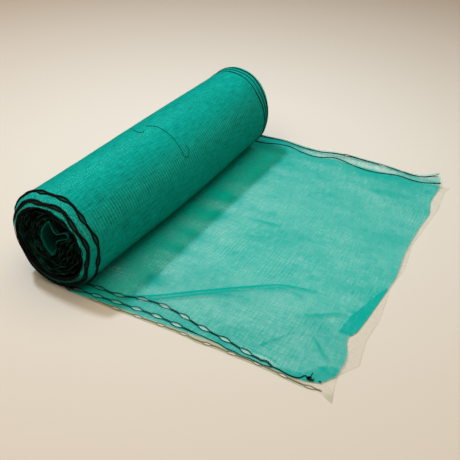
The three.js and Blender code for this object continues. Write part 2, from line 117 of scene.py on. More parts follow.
# %% [markdown]
# ## The form of the roll
# Everything that lies on the roll needs to know where its surface is, so its form is written once, as a radius for
# each angle and each place along it. The angle is zero at the front, level with the axis, and grows over the top.
# The near rim is drawn in, the back is fuller than the front, the middle sags a little forwards where it rests on
# the floor, and the turns have slipped sideways at the far end.

# %% The form of the roll
ROLL_RADIUS, ROLL_AXIS = 126.3 * MM, 125.1 * MM
ROLL_NEAR, ROLL_FAR = -511 * MM, 437.5 * MM
FAR_SLIP, FAR_SLIP_ANGLE = 31 * MM, radians(150)
FULL_ANGLE = radians(132)
FULL_NEAR, FULL_FAR, FULL_MIDDLE = 5.7 * MM, 7.2 * MM, -3 * MM
DRAW_REACH, DRAW_DEPTH, DRAW_FRONT, DRAW_TOP = 42 * MM, 26.4 * MM, -6.7 * MM, -4.2 * MM
DRAW_REACH_LOW = 24 * MM
SAG, SAG_ANGLE, SAG_SPREAD = 8 * MM, radians(-46), radians(27)
# height, lobes round the roll, waves along it, shift
ROLL_LUMPS = [(1.5 * MM, 2, 1.5, 0.4), (1.1 * MM, 3, 2.5, 2.1), (0.7 * MM, 5, 1.0, 4.0)]


def roll_radius(angle, y):
    """The roll's radius at an angle and a place along it."""
    share = (y - ROLL_NEAR) / (ROLL_FAR - ROLL_NEAR)
    lump = sum(height * np.sin(lobes * angle + shift) * np.cos(waves * pi * share + shift)
               for height, lobes, waves, shift in ROLL_LUMPS)
    full = FULL_NEAR + (FULL_FAR - FULL_NEAR) * share + FULL_MIDDLE * 4 * share * (1 - share)
    drawn = DRAW_DEPTH + DRAW_FRONT * np.cos(angle) + DRAW_TOP * np.sin(angle)
    low = np.clip(-2 * np.sin(angle) - 0.8, 0, 1)
    nearness = np.clip(1 - (y - ROLL_NEAR) / (DRAW_REACH + (DRAW_REACH_LOW - DRAW_REACH) * low), 0, 1)
    sag = SAG * hill(turn_from(angle, SAG_ANGLE), 0, SAG_SPREAD) * np.sin(pi * np.clip(share, 0, 1)) ** 2
    return (ROLL_RADIUS + full * (1 + np.cos(angle - FULL_ANGLE)) / 2
            + lump * (1 + np.sin(angle)) / 2 + sag - drawn * nearness ** 2)


def near_end(angle, reach=1.0):
    return np.full_like(angle, ROLL_NEAR)


def far_end(angle, reach=1.0):
    """How far along the roll its far end lies, at a share of the way out from the axis."""
    return ROLL_FAR + reach * FAR_SLIP * np.cos(angle - FAR_SLIP_ANGLE)


def round_roll(radius, angle, y):
    """Points at a radius from the roll's axis, none of them below the floor."""
    return points_from(radius * np.cos(angle), y, np.maximum(ROLL_AXIS + radius * np.sin(angle), 0))


def on_roll(angle, y, lift=0.0):
    return round_roll(roll_radius(angle, y) + lift, angle, y)


print("roll", round(2 * ROLL_RADIUS, 3), "m thick,", round(ROLL_FAR - ROLL_NEAR, 3), "m long")

# %% [markdown]
# ## Finishes
# All the net has one weave: knitted ribs along its length, threads laid across, and a finer mesh within. A node
# group holds that weave once, and each net finish mixes its own colours from it. It reads a UV map in metres, so
# the weave follows the cloth and keeps its size on the roll, the sheet and the turns.

# %% Helpers for finishes
WAVE_CONSTANT = pi / 10  # a wave texture of scale 1 repeats after this length


def feed(socket, value):
    """Links another node's output to a socket, or sets the socket to a number or a colour."""
    if isinstance(value, bpy.types.NodeSocket):
        socket.id_data.links.new(value, socket)
    else:
        socket.default_value = (*value, 1) if socket.type == "RGBA" else value


def add_node(tree, kind, inputs=(), **settings):
    made = tree.nodes.new("ShaderNode" + kind)
    for name, value in settings.items():
        setattr(made, name, value)
    for name, value in dict(inputs).items():
        feed(made.inputs[name], value)
    return made


def calculate(operation, *values, clamp=False):
    """A Math node, in the tree of the outputs that it reads."""
    tree = next(value.id_data for value in values if isinstance(value, bpy.types.NodeSocket))
    return add_node(tree, "Math", enumerate(values), operation=operation, use_clamp=clamp).outputs[0]


def blend(share, dark, light):
    """A Mix node between two colours."""
    inputs = {0: share, 6: dark, 7: light}
    return add_node(share.id_data, "Mix", inputs, data_type="RGBA", clamp_factor=True).outputs[2]


def cloud(place, scale, detail):
    return add_node(place.id_data, "TexNoise", {"Vector": place, "Scale": scale, "Detail": detail}).outputs["Fac"]


def new_finish(name, roughness, specular):
    """A material with its shader, ready for colours."""
    finish = bpy.data.materials.new(name)
    finish.use_nodes = True
    shader = finish.node_tree.nodes["Principled BSDF"]
    feed(shader.inputs["Roughness"], roughness)
    feed(shader.inputs["Specular IOR Level"], specular)
    return finish, finish.node_tree, shader


# %% The weave of the net
RIB_PITCH = 9.4 * MM


def make_weave():
    group = bpy.data.node_groups.new("net_weave", "ShaderNodeTree")
    group.interface.new_socket("Place", in_out="INPUT", socket_type="NodeSocketVector")
    place = group.nodes.new("NodeGroupInput").outputs["Place"]

    def bands(direction, wander):
        inputs = {"Vector": place, "Scale": WAVE_CONSTANT / RIB_PITCH, "Distortion": wander, "Detail": 1.0,
                  "Detail Scale": 0.4}
        return add_node(group, "TexWave", inputs, bands_direction=direction).outputs["Fac"]

    def threads(across, along, detail):
        """Noise drawn out along one way of the cloth; both scales are in repeats a metre."""
        stretch = add_node(group, "VectorMath", {0: place, 1: (across, along, 1)}, operation="MULTIPLY")
        return cloud(stretch.outputs["Vector"], 1.0, detail)

    weave = {"Ribs": bands("Y", 1.2), "Rows": bands("X", 3.0), "Warp": threads(250, 26, 2),
             "Weft": threads(30, 230, 2), "Flecks": threads(330, 330, 2), "Streaks": threads(3.4, 16, 3),
             "Patches": threads(8, 8, 2)}
    for name in weave:
        group.interface.new_socket(name, in_out="OUTPUT", socket_type="NodeSocketFloat")
    leave = group.nodes.new("NodeGroupOutput")
    for name, value in weave.items():
        feed(leave.inputs[name], value)
    return group


net_weave = make_weave()
print("weave group with", len(net_weave.nodes), "nodes")

# %% [markdown]
# ## Green net
# On the roll the net lies many layers deep, so it is opaque and dark. The loose end is a single layer, and the floor
# shows through it. Sheerness could be a mix with a transparent shader, but the Alpha of the main shader does the
# same and is kept by an export. How dense the net is at each point comes from an attribute on the mesh, because
# pleats, hems and slack places are denser or more open than the rest.

# %% What the net finishes share
BUMP_STRENGTH = 0.6


def weave_in(tree):
    """The weave's outputs, read on the piece's own UV map."""
    place = add_node(tree, "UVMap", uv_map="UVMap").outputs["UV"]
    return add_node(tree, "Group", {"Place": place}, node_tree=net_weave).outputs


def painted(tree, name):
    """A number kept on the points of a piece."""
    return add_node(tree, "Attribute", attribute_name=name).outputs["Fac"]


def marked(tree, bands, name):
    """Bands about their own middle, as strong as the piece is painted."""
    return calculate("MULTIPLY", calculate("SUBTRACT", bands, 0.5), painted(tree, name))


def weighed(weave, middle, **shares):
    """The weave's outputs, each about its own middle and weighed, added to a middle value."""
    for name, share in shares.items():
        middle = calculate("MULTIPLY_ADD", calculate("SUBTRACT", weave[name], 0.5), share, middle)
    return middle


def overlaid(colour, **layers):
    """A colour with others laid over it where the piece is painted for them."""
    for name, over in layers.items():
        colour = blend(painted(colour.id_data, name), colour, over)
    return colour


def share_between(value, low, high):
    """0 below a low value, 1 above a high one, and a smooth step in between."""
    inputs = {"Value": value, "From Min": low, "From Max": high}
    return add_node(value.id_data, "MapRange", inputs, interpolation_type="SMOOTHSTEP").outputs["Result"]


def raise_threads(shader, height, distance):
    bump = add_node(shader.id_data, "Bump", {"Height": height, "Strength": BUMP_STRENGTH, "Distance": distance})
    feed(shader.inputs["Normal"], bump.outputs["Normal"])


# %% Green net
# the roll's green is mixed between these by its weave and by painted light and shade
ROLL_GREEN_DARK, ROLL_GREEN_LIGHT = (0.001, 0.178, 0.140), (0.003, 0.520, 0.432)
# the first is the colour of painted highlights
ROLL_FLECK, ROLL_SELVEDGE = (0.110, 0.690, 0.590), (0.160, 0.640, 0.540)
SHADED_BOUNCE = (0.030, 0.060, 0.045)
SHEET_GREEN_DENSE, SHEET_GREEN_OPEN = (0.002, 0.470, 0.385), (0.020, 0.580, 0.505)
# a lighter green painted on the sheet in the roll's shadow
SHEET_GREEN_DOUBLE = (0.001, 0.960, 0.790)
# the first is a dark green for painted shade; the other two are the net's own green in the turns
DEEP_GREEN, LIP_GREEN, TURN_GREEN = (0.002, 0.060, 0.044), (0.005, 0.110, 0.082), (0.006, 0.110, 0.084)
YARN_BLACK = (0.0032, 0.0034, 0.0030)


def roll_net():
    finish, tree, shader = new_finish("green_net_on_roll", 0.85, 0.01)
    weave = weave_in(tree)
    # the ribs show in colour only in a band where light grazes them: painted light and shade
    ribs = marked(tree, weave["Ribs"], "ribbed")
    # the tone is the painted light and shade, with the weave about it
    tone = weighed(weave, painted(tree, "lit"), Warp=1.2, Weft=0.7, Flecks=0.5, Patches=0.22)
    colour = blend(calculate("MULTIPLY_ADD", ribs, 0.27, tone), ROLL_GREEN_DARK, ROLL_GREEN_LIGHT)
    # painted highlights: pale flecks where light falls, and on the ribs where it grazes them
    flecks = calculate("MULTIPLY", share_between(weave["Flecks"], 0.52, 0.72), painted(tree, "flecked"))
    bright = calculate("MAXIMUM", flecks, calculate("MULTIPLY", ribs, 0.32))
    # painted shade in the eyelet windows, under the roll and on its low rim
    colour = overlaid(blend(bright, colour, ROLL_FLECK), selvedge=ROLL_SELVEDGE, window=DEEP_GREEN)
    bounced = calculate("MULTIPLY", add_node(tree, "LightPath").outputs["Is Diffuse Ray"], 0.6)
    feed(shader.inputs["Base Color"], blend(bounced, colour, SHADED_BOUNCE))
    raise_threads(shader, calculate("ADD", ribs, weave["Warp"]), 0.6 * MM)
    return finish


def sheet_net():
    """A sheer net. Shadow rays pass it more freely than sight does, because its threads scatter light onwards."""
    finish, tree, shader = new_finish("green_net_sheer", 0.8, 0.04)
    weave = weave_in(tree)
    cover = weighed(weave, painted(tree, "cover"), Warp=0.85, Weft=0.75, Flecks=0.4, Streaks=0.55, Patches=0.35)
    cover = calculate("ADD", cover, marked(tree, weave["Rows"], "lined"), clamp=True)
    green = blend(share_between(cover, 0.30, 0.92), SHEET_GREEN_OPEN, SHEET_GREEN_DENSE)
    # painted light and shade: a lighter green in the roll's shadow, and a dark green where the sheet meets the roll
    # and beside it
    feed(shader.inputs["Base Color"], overlaid(green, doubled=SHEET_GREEN_DOUBLE, tucked=DEEP_GREEN))
    passed = calculate("MULTIPLY_ADD", add_node(tree, "LightPath").outputs["Is Shadow Ray"], -0.5, 1.0)
    feed(shader.inputs["Alpha"], calculate("MULTIPLY", cover, passed))
    raise_threads(shader, weave["Warp"], 0.5 * MM)
    return finish


def end_net():
    """Net and yarn crushed together: black for the most part, with green where the net shows."""
    finish, tree, shader = new_finish("green_net_in_turns", 0.85, 0.03)
    place = add_node(tree, "UVMap", uv_map="UVMap").outputs["UV"]
    net = blend(share_between(cloud(place, 15, 3), 0.44, 0.64), YARN_BLACK, TURN_GREEN)
    lip = calculate("MULTIPLY", painted(tree, "lip"), share_between(cloud(place, 17, 2), 0.47, 0.66))
    feed(shader.inputs["Base Color"], blend(lip, net, LIP_GREEN))
    return finish


# %% [markdown]
# ## Yarn and the clear ply
# The binding yarn is matt and nearly black. Its twist is modelled, so the finish only needs a little fuzz. The clear
# ply is a thin pale net: a low Alpha, a little more at its edges, and faint threads.

# %% Yarn and clear ply
PALE_NET_DARK, PALE_NET_LIGHT = (0.43, 0.45, 0.29), (0.64, 0.63, 0.47)
# painted light on the clear ply: green light falling through the net above it, and a bluer green in the roll's shadow
MINT_NET, MINT_IN_SHADE = (0.350, 0.780, 0.690), (0.190, 0.850, 0.830)


def yarn_finish(name, dark, light):
    finish, tree, shader = new_finish(name, 0.9, 0.08)
    fuzz = cloud(add_node(tree, "TexCoord").outputs["Object"], 900, 3)
    feed(shader.inputs["Base Color"], blend(fuzz, dark, light))
    raise_threads(shader, fuzz, 0.4 * MM)
    return finish


def clear_cloth():
    finish, tree, shader = new_finish("clear_net_cloth", 0.6, 0.2)
    weave = weave_in(tree)
    pale = blend(weighed(weave, 0.5, Warp=0.5, Weft=0.5, Flecks=0.4), PALE_NET_DARK, PALE_NET_LIGHT)
    # painted light: green light from the net above, and a bluer green in the roll's shadow; the dense green shows
    # behind eyelets near the roll
    pale = overlaid(pale, mint=MINT_NET, shaded=MINT_IN_SHADE, backed=SHEET_GREEN_DENSE)
    feed(shader.inputs["Base Color"], pale)
    cover = weighed(weave, painted(tree, "cover"), Warp=0.2, Weft=0.2, Flecks=0.15)
    feed(shader.inputs["Alpha"], calculate("ADD", cover, 0.0, clamp=True))
    return finish


NET_ON_ROLL, NET_SHEER, NET_IN_TURNS, NET_CLEAR = roll_net(), sheet_net(), end_net(), clear_cloth()
BLACK_YARN = yarn_finish("black_binding_yarn", (0.0030, 0.0030, 0.0026), (0.013, 0.012, 0.010))
GREEN_THREAD = yarn_finish("dark_green_thread", (0.001, 0.060, 0.046), (0.004, 0.120, 0.094))
PALE_YARN = yarn_finish("pale_binding_yarn", (0.20, 0.21, 0.12), (0.33, 0.33, 0.21))
print("finishes", [m.name for m in (NET_ON_ROLL, NET_SHEER, NET_IN_TURNS, NET_CLEAR, BLACK_YARN)])

# %% [markdown]
# ## The two loose threads
# Two ends of fine thread lie on top of the roll. A thread is a curve with a round bevel. Its points are given
# as an angle round the roll and a distance along it, and the form of the roll puts each on the surface.

# %% Loose threads
THREAD_RADIUS = 0.65 * MM
THREAD_LIFT = 0.5 * MM + THREAD_RADIUS
LONG_THREAD = [
    (95.3, -0.0733), (90.5, -0.0650), (83.8, -0.0595), (76.3, -0.0583), (66.6, -0.0598), (57.8, -0.0615),
    (49.8, -0.0641), (41.8, -0.0670), (35.4, -0.0704), (30.5, -0.0683), (28.6, -0.0590), (31.9, -0.0476),
    (35.4, -0.0412), (39.1, -0.0401), (41.5, -0.0431),
]
SHORT_THREAD = [
    (104.1, -0.1049), (99.5, -0.1105), (96.0, -0.1135), (91.0, -0.1136), (89.3, -0.1090), (89.5, -0.1039),
    (91.7, -0.0944),
]


def new_curve(name, radius, resolution, finish):
    """A curve with a round bevel, in the scene and ready for its lines."""
    curve = bpy.data.curves.new(name, "CURVE")
    curve.dimensions, curve.use_fill_caps = "3D", True
    curve.bevel_depth, curve.bevel_resolution = radius, resolution
    curve.materials.append(finish)
    return new_object(curve)


def loose_thread(name, route, node):
    thread = new_curve(name, THREAD_RADIUS, 2, GREEN_THREAD)
    points = thread.data.splines.new("BEZIER").bezier_points
    points.add(len(route) - 1)
    for point, (degrees, y) in zip(points, route):
        point.co = on_roll(radians(degrees), y, THREAD_LIFT)
        point.handle_left_type = point.handle_right_type = "AUTO"
    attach(thread, "root")
    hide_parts(node)
    return thread


long_thread = loose_thread("thread_long", LONG_THREAD, "loose_thread_long")
short_thread = loose_thread("thread_short", SHORT_THREAD, "loose_thread_short")
print("threads", long_thread.name, short_thread.name)

# %% [markdown]
# ## Floor and light
# A plain pale floor reaches past the picture on all sides, and painted shade darkens it away from the roll. The
# main light is high, behind the roll's left side, and large enough for a soft shadow. A wide, warm light overhead
# and an even, warm surround do the rest: the overhead light keeps the places under the roll's overhang dark.

# %% Floor
FLOOR_SIZE, FLOOR_DROP = 16, 0.2 * MM
# painted light: the floor is lit around its middle and painted darker and warmer out towards its edge
FLOOR_TONE, FLOOR_EDGE_TONE = (0.850, 0.805, 0.717), (0.590, 0.450, 0.318)
FLOOR_MIDDLE = (0.08, 0.42, 0.0)
FLOOR_FADE_FROM, FLOOR_FADE_TO = 0.4, 2.6

bpy.ops.mesh.primitive_plane_add(size=FLOOR_SIZE, location=(0, 0, -FLOOR_DROP))
floor = bpy.context.object
floor.name = "floor"
bpy.ops.object.transform_apply(location=True, rotation=False, scale=False)
floor_finish, tree, shader = new_finish("pale_floor", 0.9, 0.1)
place = add_node(tree, "TexCoord").outputs["Object"]
reach = add_node(tree, "VectorMath", {0: place, 1: FLOOR_MIDDLE}, operation="DISTANCE").outputs["Value"]
fade = add_node(tree, "MapRange", {"Value": reach, "From Min": FLOOR_FADE_FROM, "From Max": FLOOR_FADE_TO})
feed(shader.inputs["Base Color"], blend(fade.outputs["Result"], FLOOR_TONE, FLOOR_EDGE_TONE))
floor.data.materials.append(floor_finish)
print("floor", FLOOR_SIZE, "m")

# %% Light
KEY_DIRECTION = Vector((-0.48, 0.045, 1.0)).normalized()
KEY_AIM, KEY_DISTANCE = Vector((0.25, 0.0, 0.1)), 6.0
OVERHEAD_PLACE, STRAIGHT_UP = (0.0, -0.6, 3.2), Vector((0, 0, 1))
SURROUND, SURROUND_STRENGTH = (1.0, 0.885, 0.71), 0.19


def soft_light(name, size, power, colour, place, direction):
    """A round light that shines back along a direction."""
    light = bpy.data.lights.new(name, "AREA")
    light.shape, light.size, light.energy, light.color = "DISK", size, power, colour
    return new_object(light, place, direction.to_track_quat("Z", "Y").to_euler())


key = soft_light("key_light", size=0.62, power=156, colour=(0.85, 1.0, 1.22),
                 place=KEY_AIM + KEY_DIRECTION * KEY_DISTANCE, direction=KEY_DIRECTION)
soft_light("overhead_light", size=5.0, power=82, colour=SURROUND, place=OVERHEAD_PLACE, direction=STRAIGHT_UP)
scene.world = bpy.data.worlds.new("surround")
scene.world.use_nodes = True
background = scene.world.node_tree.nodes["Background"]
feed(background.inputs["Color"], SURROUND)
feed(background.inputs["Strength"], SURROUND_STRENGTH)
print("key light at", [round(v, 2) for v in key.location])

# %% [markdown]
# ## Making cloth from a grid
# A cloth piece starts as Blender's grid primitive, which has rows and columns of faces like the weave itself. Each
# corner of the grid is then moved to its place. A cloth modifier could settle it, but here the folds have known
# places, so they are given one by one.


# %% Cloth from a grid
def cloth_grid(name, points, uv, finish, **marks):
    """A grid primitive whose corners are moved to rows of points, with a UV map in metres and numbers to read."""
    rows, columns = points.shape[:2]
    bpy.ops.mesh.primitive_grid_add(x_subdivisions=columns - 1, y_subdivisions=rows - 1, size=1)
    piece = bpy.context.object
    mesh = piece.data
    piece.name = mesh.name = name
    mesh.vertices.foreach_set("co", np.ascontiguousarray(points, np.float32).ravel())
    corner = np.zeros(len(mesh.loops), np.int32)
    mesh.loops.foreach_get("vertex_index", corner)
    mesh.uv_layers[0].name = "UVMap"
    mesh.uv_layers[0].data.foreach_set("uv", uv.reshape(-1, 2)[corner].astype(np.float32).ravel())
    for mark, values in marks.items():
        attribute = mesh.attributes.new(mark, "FLOAT", "POINT")
        spread = np.broadcast_to(values, (rows, columns))
        attribute.data.foreach_set("value", np.ascontiguousarray(spread, np.float32).ravel())
    mesh.materials.append(finish)
    bpy.ops.object.shade_smooth()
    mesh.update()
    return piece


def pick(piece):
    """Makes a piece the only one selected, and the active one."""
    bpy.ops.object.select_all(action="DESELECT")
    piece.select_set(True)
    bpy.context.view_layer.objects.active = piece


def close_seams(piece):
    """Merges corners that meet, and turns all faces outwards."""
    pick(piece)
    bpy.ops.object.mode_set(mode="EDIT")
    bpy.ops.mesh.select_all(action="SELECT")
    bpy.ops.mesh.remove_doubles(threshold=0.02 * MM)
    bpy.ops.mesh.normals_make_consistent(inside=False)
    bpy.ops.object.mode_set(mode="OBJECT")


def thicken(piece, thickness):
    """Gives a sheet its thickness."""
    pick(piece)
    solid = piece.modifiers.new("thickness", "SOLIDIFY")
    solid.thickness, solid.offset = thickness, 0
    bpy.ops.object.modifier_apply(modifier=solid.name)


def almond_half_width(along, length, width):
    """Half the width of an almond opening at a distance from its middle."""
    return width / 2 * np.clip(1 - (2 * along / length) ** 2, 0, None) ** 0.75


# %% [markdown]
# ## The skin of the roll
# The outer turn of net is one closed skin: over the rim at each end it turns inwards and ends on a dark floor deep
# inside, behind the edges of the inner turns. The eyelets near the open end are windows in the outer turn, so the
# skin sinks a little there, and painted shade in them stands for the shaded net of the next turn. The underside
# and the low part of the near rim get painted shade as well.

# %% Rows of yarn round the roll
ROW_FROM, ROW_TO = radians(-60), radians(240)
ROW_WAVE, ROW_WAVE_LOBES = 2.5 * MM, 7
EYELET_LENGTH, EYELET_WIDTH, RIM_EYELET_WIDTH = 31 * MM, 14 * MM, 10 * MM
INNER_ROW, RIM_ROW = 33 * MM, 8.5 * MM
eyelet_angles = np.radians(np.arange(-36, 220, 27))


def row_wave(angle):
    return ROW_WAVE * np.sin(ROW_WAVE_LOBES * angle)


def in_windows(angle, y):
    """How far inside an eyelet of the near rows each place on the roll is, from 0 to 1."""
    found = np.zeros(np.broadcast(angle, y).shape)
    for row, width in ((INNER_ROW, EYELET_WIDTH), (RIM_ROW, RIM_EYELET_WIDTH)):
        across = np.abs(y - (ROLL_NEAR + row + row_wave(angle)))
        for middle in eyelet_angles:
            half = almond_half_width(turn_from(angle, middle) * ROLL_RADIUS, EYELET_LENGTH, width)
            found = np.maximum(found, np.clip((half - across) / (2 * MM), 0, 1))
    return found


print(len(eyelet_angles), "eyelets in each near row round the roll")

# %% The rows of the skin
SKIN_COLUMNS = 320
SKIN_WALL = 2.2 * MM
END_DEPTH, FINE_REACH = 70 * MM, 60 * MM
FINE_ROWS, PLAIN_ROWS = 40, 130
ROWS_BEFORE = 12
skin_angle = np.linspace(-pi, pi, SKIN_COLUMNS + 1)


def skin_rows():
    """Radius and place along the roll for each row of the skin, from inside the near end to inside the far end."""
    near, far = near_end(skin_angle), far_end(skin_angle)

    def wall(y, inset=SKIN_WALL):
        return roll_radius(skin_angle, y) - inset, y

    radius, y = wall(near + END_DEPTH)
    rows = [(radius * share, y) for share in (0.0, 0.3, 0.6, 0.85)]
    rows += [wall(near + depth) for depth in (END_DEPTH, 40 * MM, 20 * MM, 8 * MM, 3 * MM)]
    rim = roll_radius(skin_angle, ROLL_NEAR)
    rows += [(rim - inset * SKIN_WALL, near - out * MM) for inset, out in ((0.85, 0.2), (0.5, 0.8), (0.12, 0.3))]
    rows += [wall(near + distance, 0) for distance in np.linspace(0.8 * MM, FINE_REACH, FINE_ROWS)]
    start = near + FINE_REACH
    rows += [wall(start + (far - start) * share, 0) for share in np.linspace(0, 1, PLAIN_ROWS + 1)[1:]]
    rows += [wall(far + out * MM, inset * SKIN_WALL) for inset, out in ((0.15, 0.4), (0.5, 0.9), (0.85, 0.4))]
    rows += [wall(far - depth) for depth in (3 * MM, 10 * MM, 30 * MM, END_DEPTH)]
    radius, y = wall(far - END_DEPTH)
    middle = ROLL_FAR - END_DEPTH
    rows += [(radius * share, middle + (y - middle) * share) for share in (0.85, 0.6, 0.3, 0.0)]
    return np.array(rows)


rows = skin_rows()
skin_radius, skin_y = rows[:, 0], rows[:, 1]
print("skin rows", len(rows))

# %% The shades of the skin
# painted light and shade round the roll: degrees and share
LIT_ANGLES = np.array([-60, -20, 10, 30, 50, 70, 88, 100, 115, 140, 185, 215, 300])
LIT_SHARES = [0.28, 0.43, 0.49, 0.61, 0.55, 0.57, 0.53, 0.45, 0.33, 0.32, 0.30, 0.03, 0.03]
# the band round the roll where light grazes the ribs, and their light and shade are painted
RIBBED_AT, RIBBED_REACH = radians(31), radians(16)
# painted highlights: the band on top where they are thickest
FLECKED_AT, FLECKED_REACH = radians(86), radians(10)
# painted shade: the front is a little darker towards the ends
FRONT_AT, FRONT_REACH, FRONT_DIM = radians(44), radians(26), 0.09
# painted shade: under the roll, in the eyelet windows and on the low part of the near rim
UNDER_FROM_ANGLE, UNDER_TO_ANGLE, UNDERSIDE = radians(24), radians(46), 0.92
WINDOW_SHADE, RIM_SHADE = 0.75, 0.88
SELVEDGE_WIDTH, SELVEDGE_SHARE = 9 * MM, 0.7
# how much the painted highlights follow the lit share, the top and the upper rim, and how many fewer lie towards the
# far end
FLECKS_ALL, FLECKS_TOP, FLECKS_RIM, FEWER_FAR = 0.35, 0.6, 0.85, 0.6

outside = np.zeros((len(rows), 1), bool)
outside[ROWS_BEFORE:ROWS_BEFORE + FINE_ROWS + PLAIN_ROWS] = True
window = in_windows(skin_angle, skin_y) * outside
degrees = np.degrees(skin_angle) % 360
upper = smooth_step(np.sin(skin_angle), 0.1, 0.7)
low_rim = smooth_step(degrees, 195, 225) * (degrees < 300) * fall(skin_y - ROLL_NEAR, 6, 20)
underside = smooth_step(-skin_angle, UNDER_FROM_ANGLE, UNDER_TO_ANGLE) * (np.abs(skin_angle) < 1.6)
lit = np.interp(degrees, LIT_ANGLES % 360, LIT_SHARES, period=360)
front = hill(skin_angle, FRONT_AT, FRONT_REACH) * rise(np.abs(skin_y), 120, 300)
flecked = FLECKS_ALL * lit + FLECKS_TOP * hill(skin_angle, FLECKED_AT, FLECKED_REACH)
at_rim = FLECKS_RIM * upper * fall(skin_y - ROLL_NEAR, 24, 34)
from_far = far_end(skin_angle) - skin_y
skin_marks = {
    "window": np.maximum(np.maximum(WINDOW_SHADE * window, UNDERSIDE * underside), RIM_SHADE * low_rim),
    "selvedge": SELVEDGE_SHARE * upper * (1 - smooth_step(from_far, 0.4 * SELVEDGE_WIDTH, SELVEDGE_WIDTH)),
    "ribbed": hill(skin_angle, RIBBED_AT, RIBBED_REACH),
    "lit": lit - FRONT_DIM * front,
    "flecked": np.maximum(flecked * (1 - FEWER_FAR * rise(skin_y, -300, 400)), FLECKS_ALL * lit + at_rim),
}
print("skin marks", list(skin_marks))

# %% The skin of the roll
WINDOW_SINK, SKIN_UNEVEN = 1.2 * MM, 0.5 * MM
# rows of faces before the first of these, and from the second on, are inside the rims
NEAR_INSIDE, FAR_INSIDE = 10, 14 + FINE_ROWS + PLAIN_ROWS

skin_points = round_roll(skin_radius, skin_angle, skin_y)
uneven = soft_noise(skin_points, 14, 1) + 0.6 * soft_noise(skin_points, 37, 2)
uneven = uneven * outside * smooth_step(np.sin(skin_angle), -0.98, -0.6)
skin_points = round_roll(skin_radius - WINDOW_SINK * window + SKIN_UNEVEN * uneven, skin_angle, skin_y)
skin_points[:, -1] = skin_points[:, 0]
skin_uv = points_from(skin_angle * ROLL_RADIUS, skin_y)
roll_skin = cloth_grid("roll_skin", skin_points, skin_uv, NET_ON_ROLL, **skin_marks)
roll_skin.data.materials.append(NET_IN_TURNS)
face_row = np.arange(len(roll_skin.data.polygons)) // SKIN_COLUMNS
inner_face = (face_row < NEAR_INSIDE) | (face_row >= FAR_INSIDE)
roll_skin.data.polygons.foreach_set("material_index", inner_face.astype(np.int32))
close_seams(roll_skin)
print("roll skin", len(roll_skin.data.polygons), "faces")

# %% [markdown]
# ## The turns inside the ends
# Inside each rim the edges of the inner turns show as a crumpled spiral round the slack middle, which has drawn in
# to three folds. One long ribbon makes them all: it winds from the rim in to the folds, its edge wanders in and out,
# and noise buckles it. The yarn of its own eyelet rows is crushed into it, so most of the edge is black.

# %% The slack middle
CORE_CENTRE = np.array([5, 18]) * MM
# the mouth of the slack middle, across and up from the roll's axis
CORE_FOLDS = np.array([
    (9.5, 68), (-15.7, 37), (-19.6, 15), (-15.5, -8.7), (3.6, -26), (18.9, -4.3), (23.8, 16.6), (42, 27),
    (60.6, 36), (57, 50.7), (38.7, 42.7), (26.7, 36.4), (16.1, 54.5),
]) * MM
LINE_STEPS = 12


def line_through(points, steps=LINE_STEPS):
    """A smooth line through points, as places close together."""
    points = np.asarray(points, float)
    last = len(points) - 1
    s = (np.arange(steps) / steps)[:, None]
    parts = []
    for i in range(last):
        here, there = points[i], points[i + 1]
        leave, arrive = (there - points[max(i - 1, 0)]) / 2, (points[min(i + 2, last)] - here) / 2
        parts.append((2 * s ** 3 - 3 * s ** 2 + 1) * here + (s ** 3 - 2 * s ** 2 + s) * leave
                     + (3 * s ** 2 - 2 * s ** 3) * there + (s ** 3 - s ** 2) * arrive)
    return np.vstack([*parts, points[-1:]])


thrice = line_through(np.vstack([CORE_FOLDS] * 3))
once = len(CORE_FOLDS) * LINE_STEPS
core_arms = thrice - CORE_CENTRE
core_reach = np.hypot(*core_arms.T)
core_angles = np.unwrap(np.arctan2(core_arms[:, 1], core_arms[:, 0]))


def core_radius(angle):
    """How far the slack middle reaches from its centre at an angle."""
    first = core_angles[once]
    return np.interp(first + np.mod(angle - first, 2 * pi), core_angles, core_reach)


print("slack middle", round(float(core_radius(np.array(1.6))), 3), "m to its top fold")

# %% The wound turns
TURNS, STEPS_A_TURN = 8, 130
RIBBON_DEPTH, RIBBON_THICK = 36 * MM, 0.7 * MM
RIBBON_ROWS = np.array([0, 0.03, 0.07, 0.2, 0.4, 0.7, 1.0])[:, None]
RIBBON_LIP = np.array([0.9, 1.0, 0.8, 0.5, 0.2, 0, 0])[:, None]


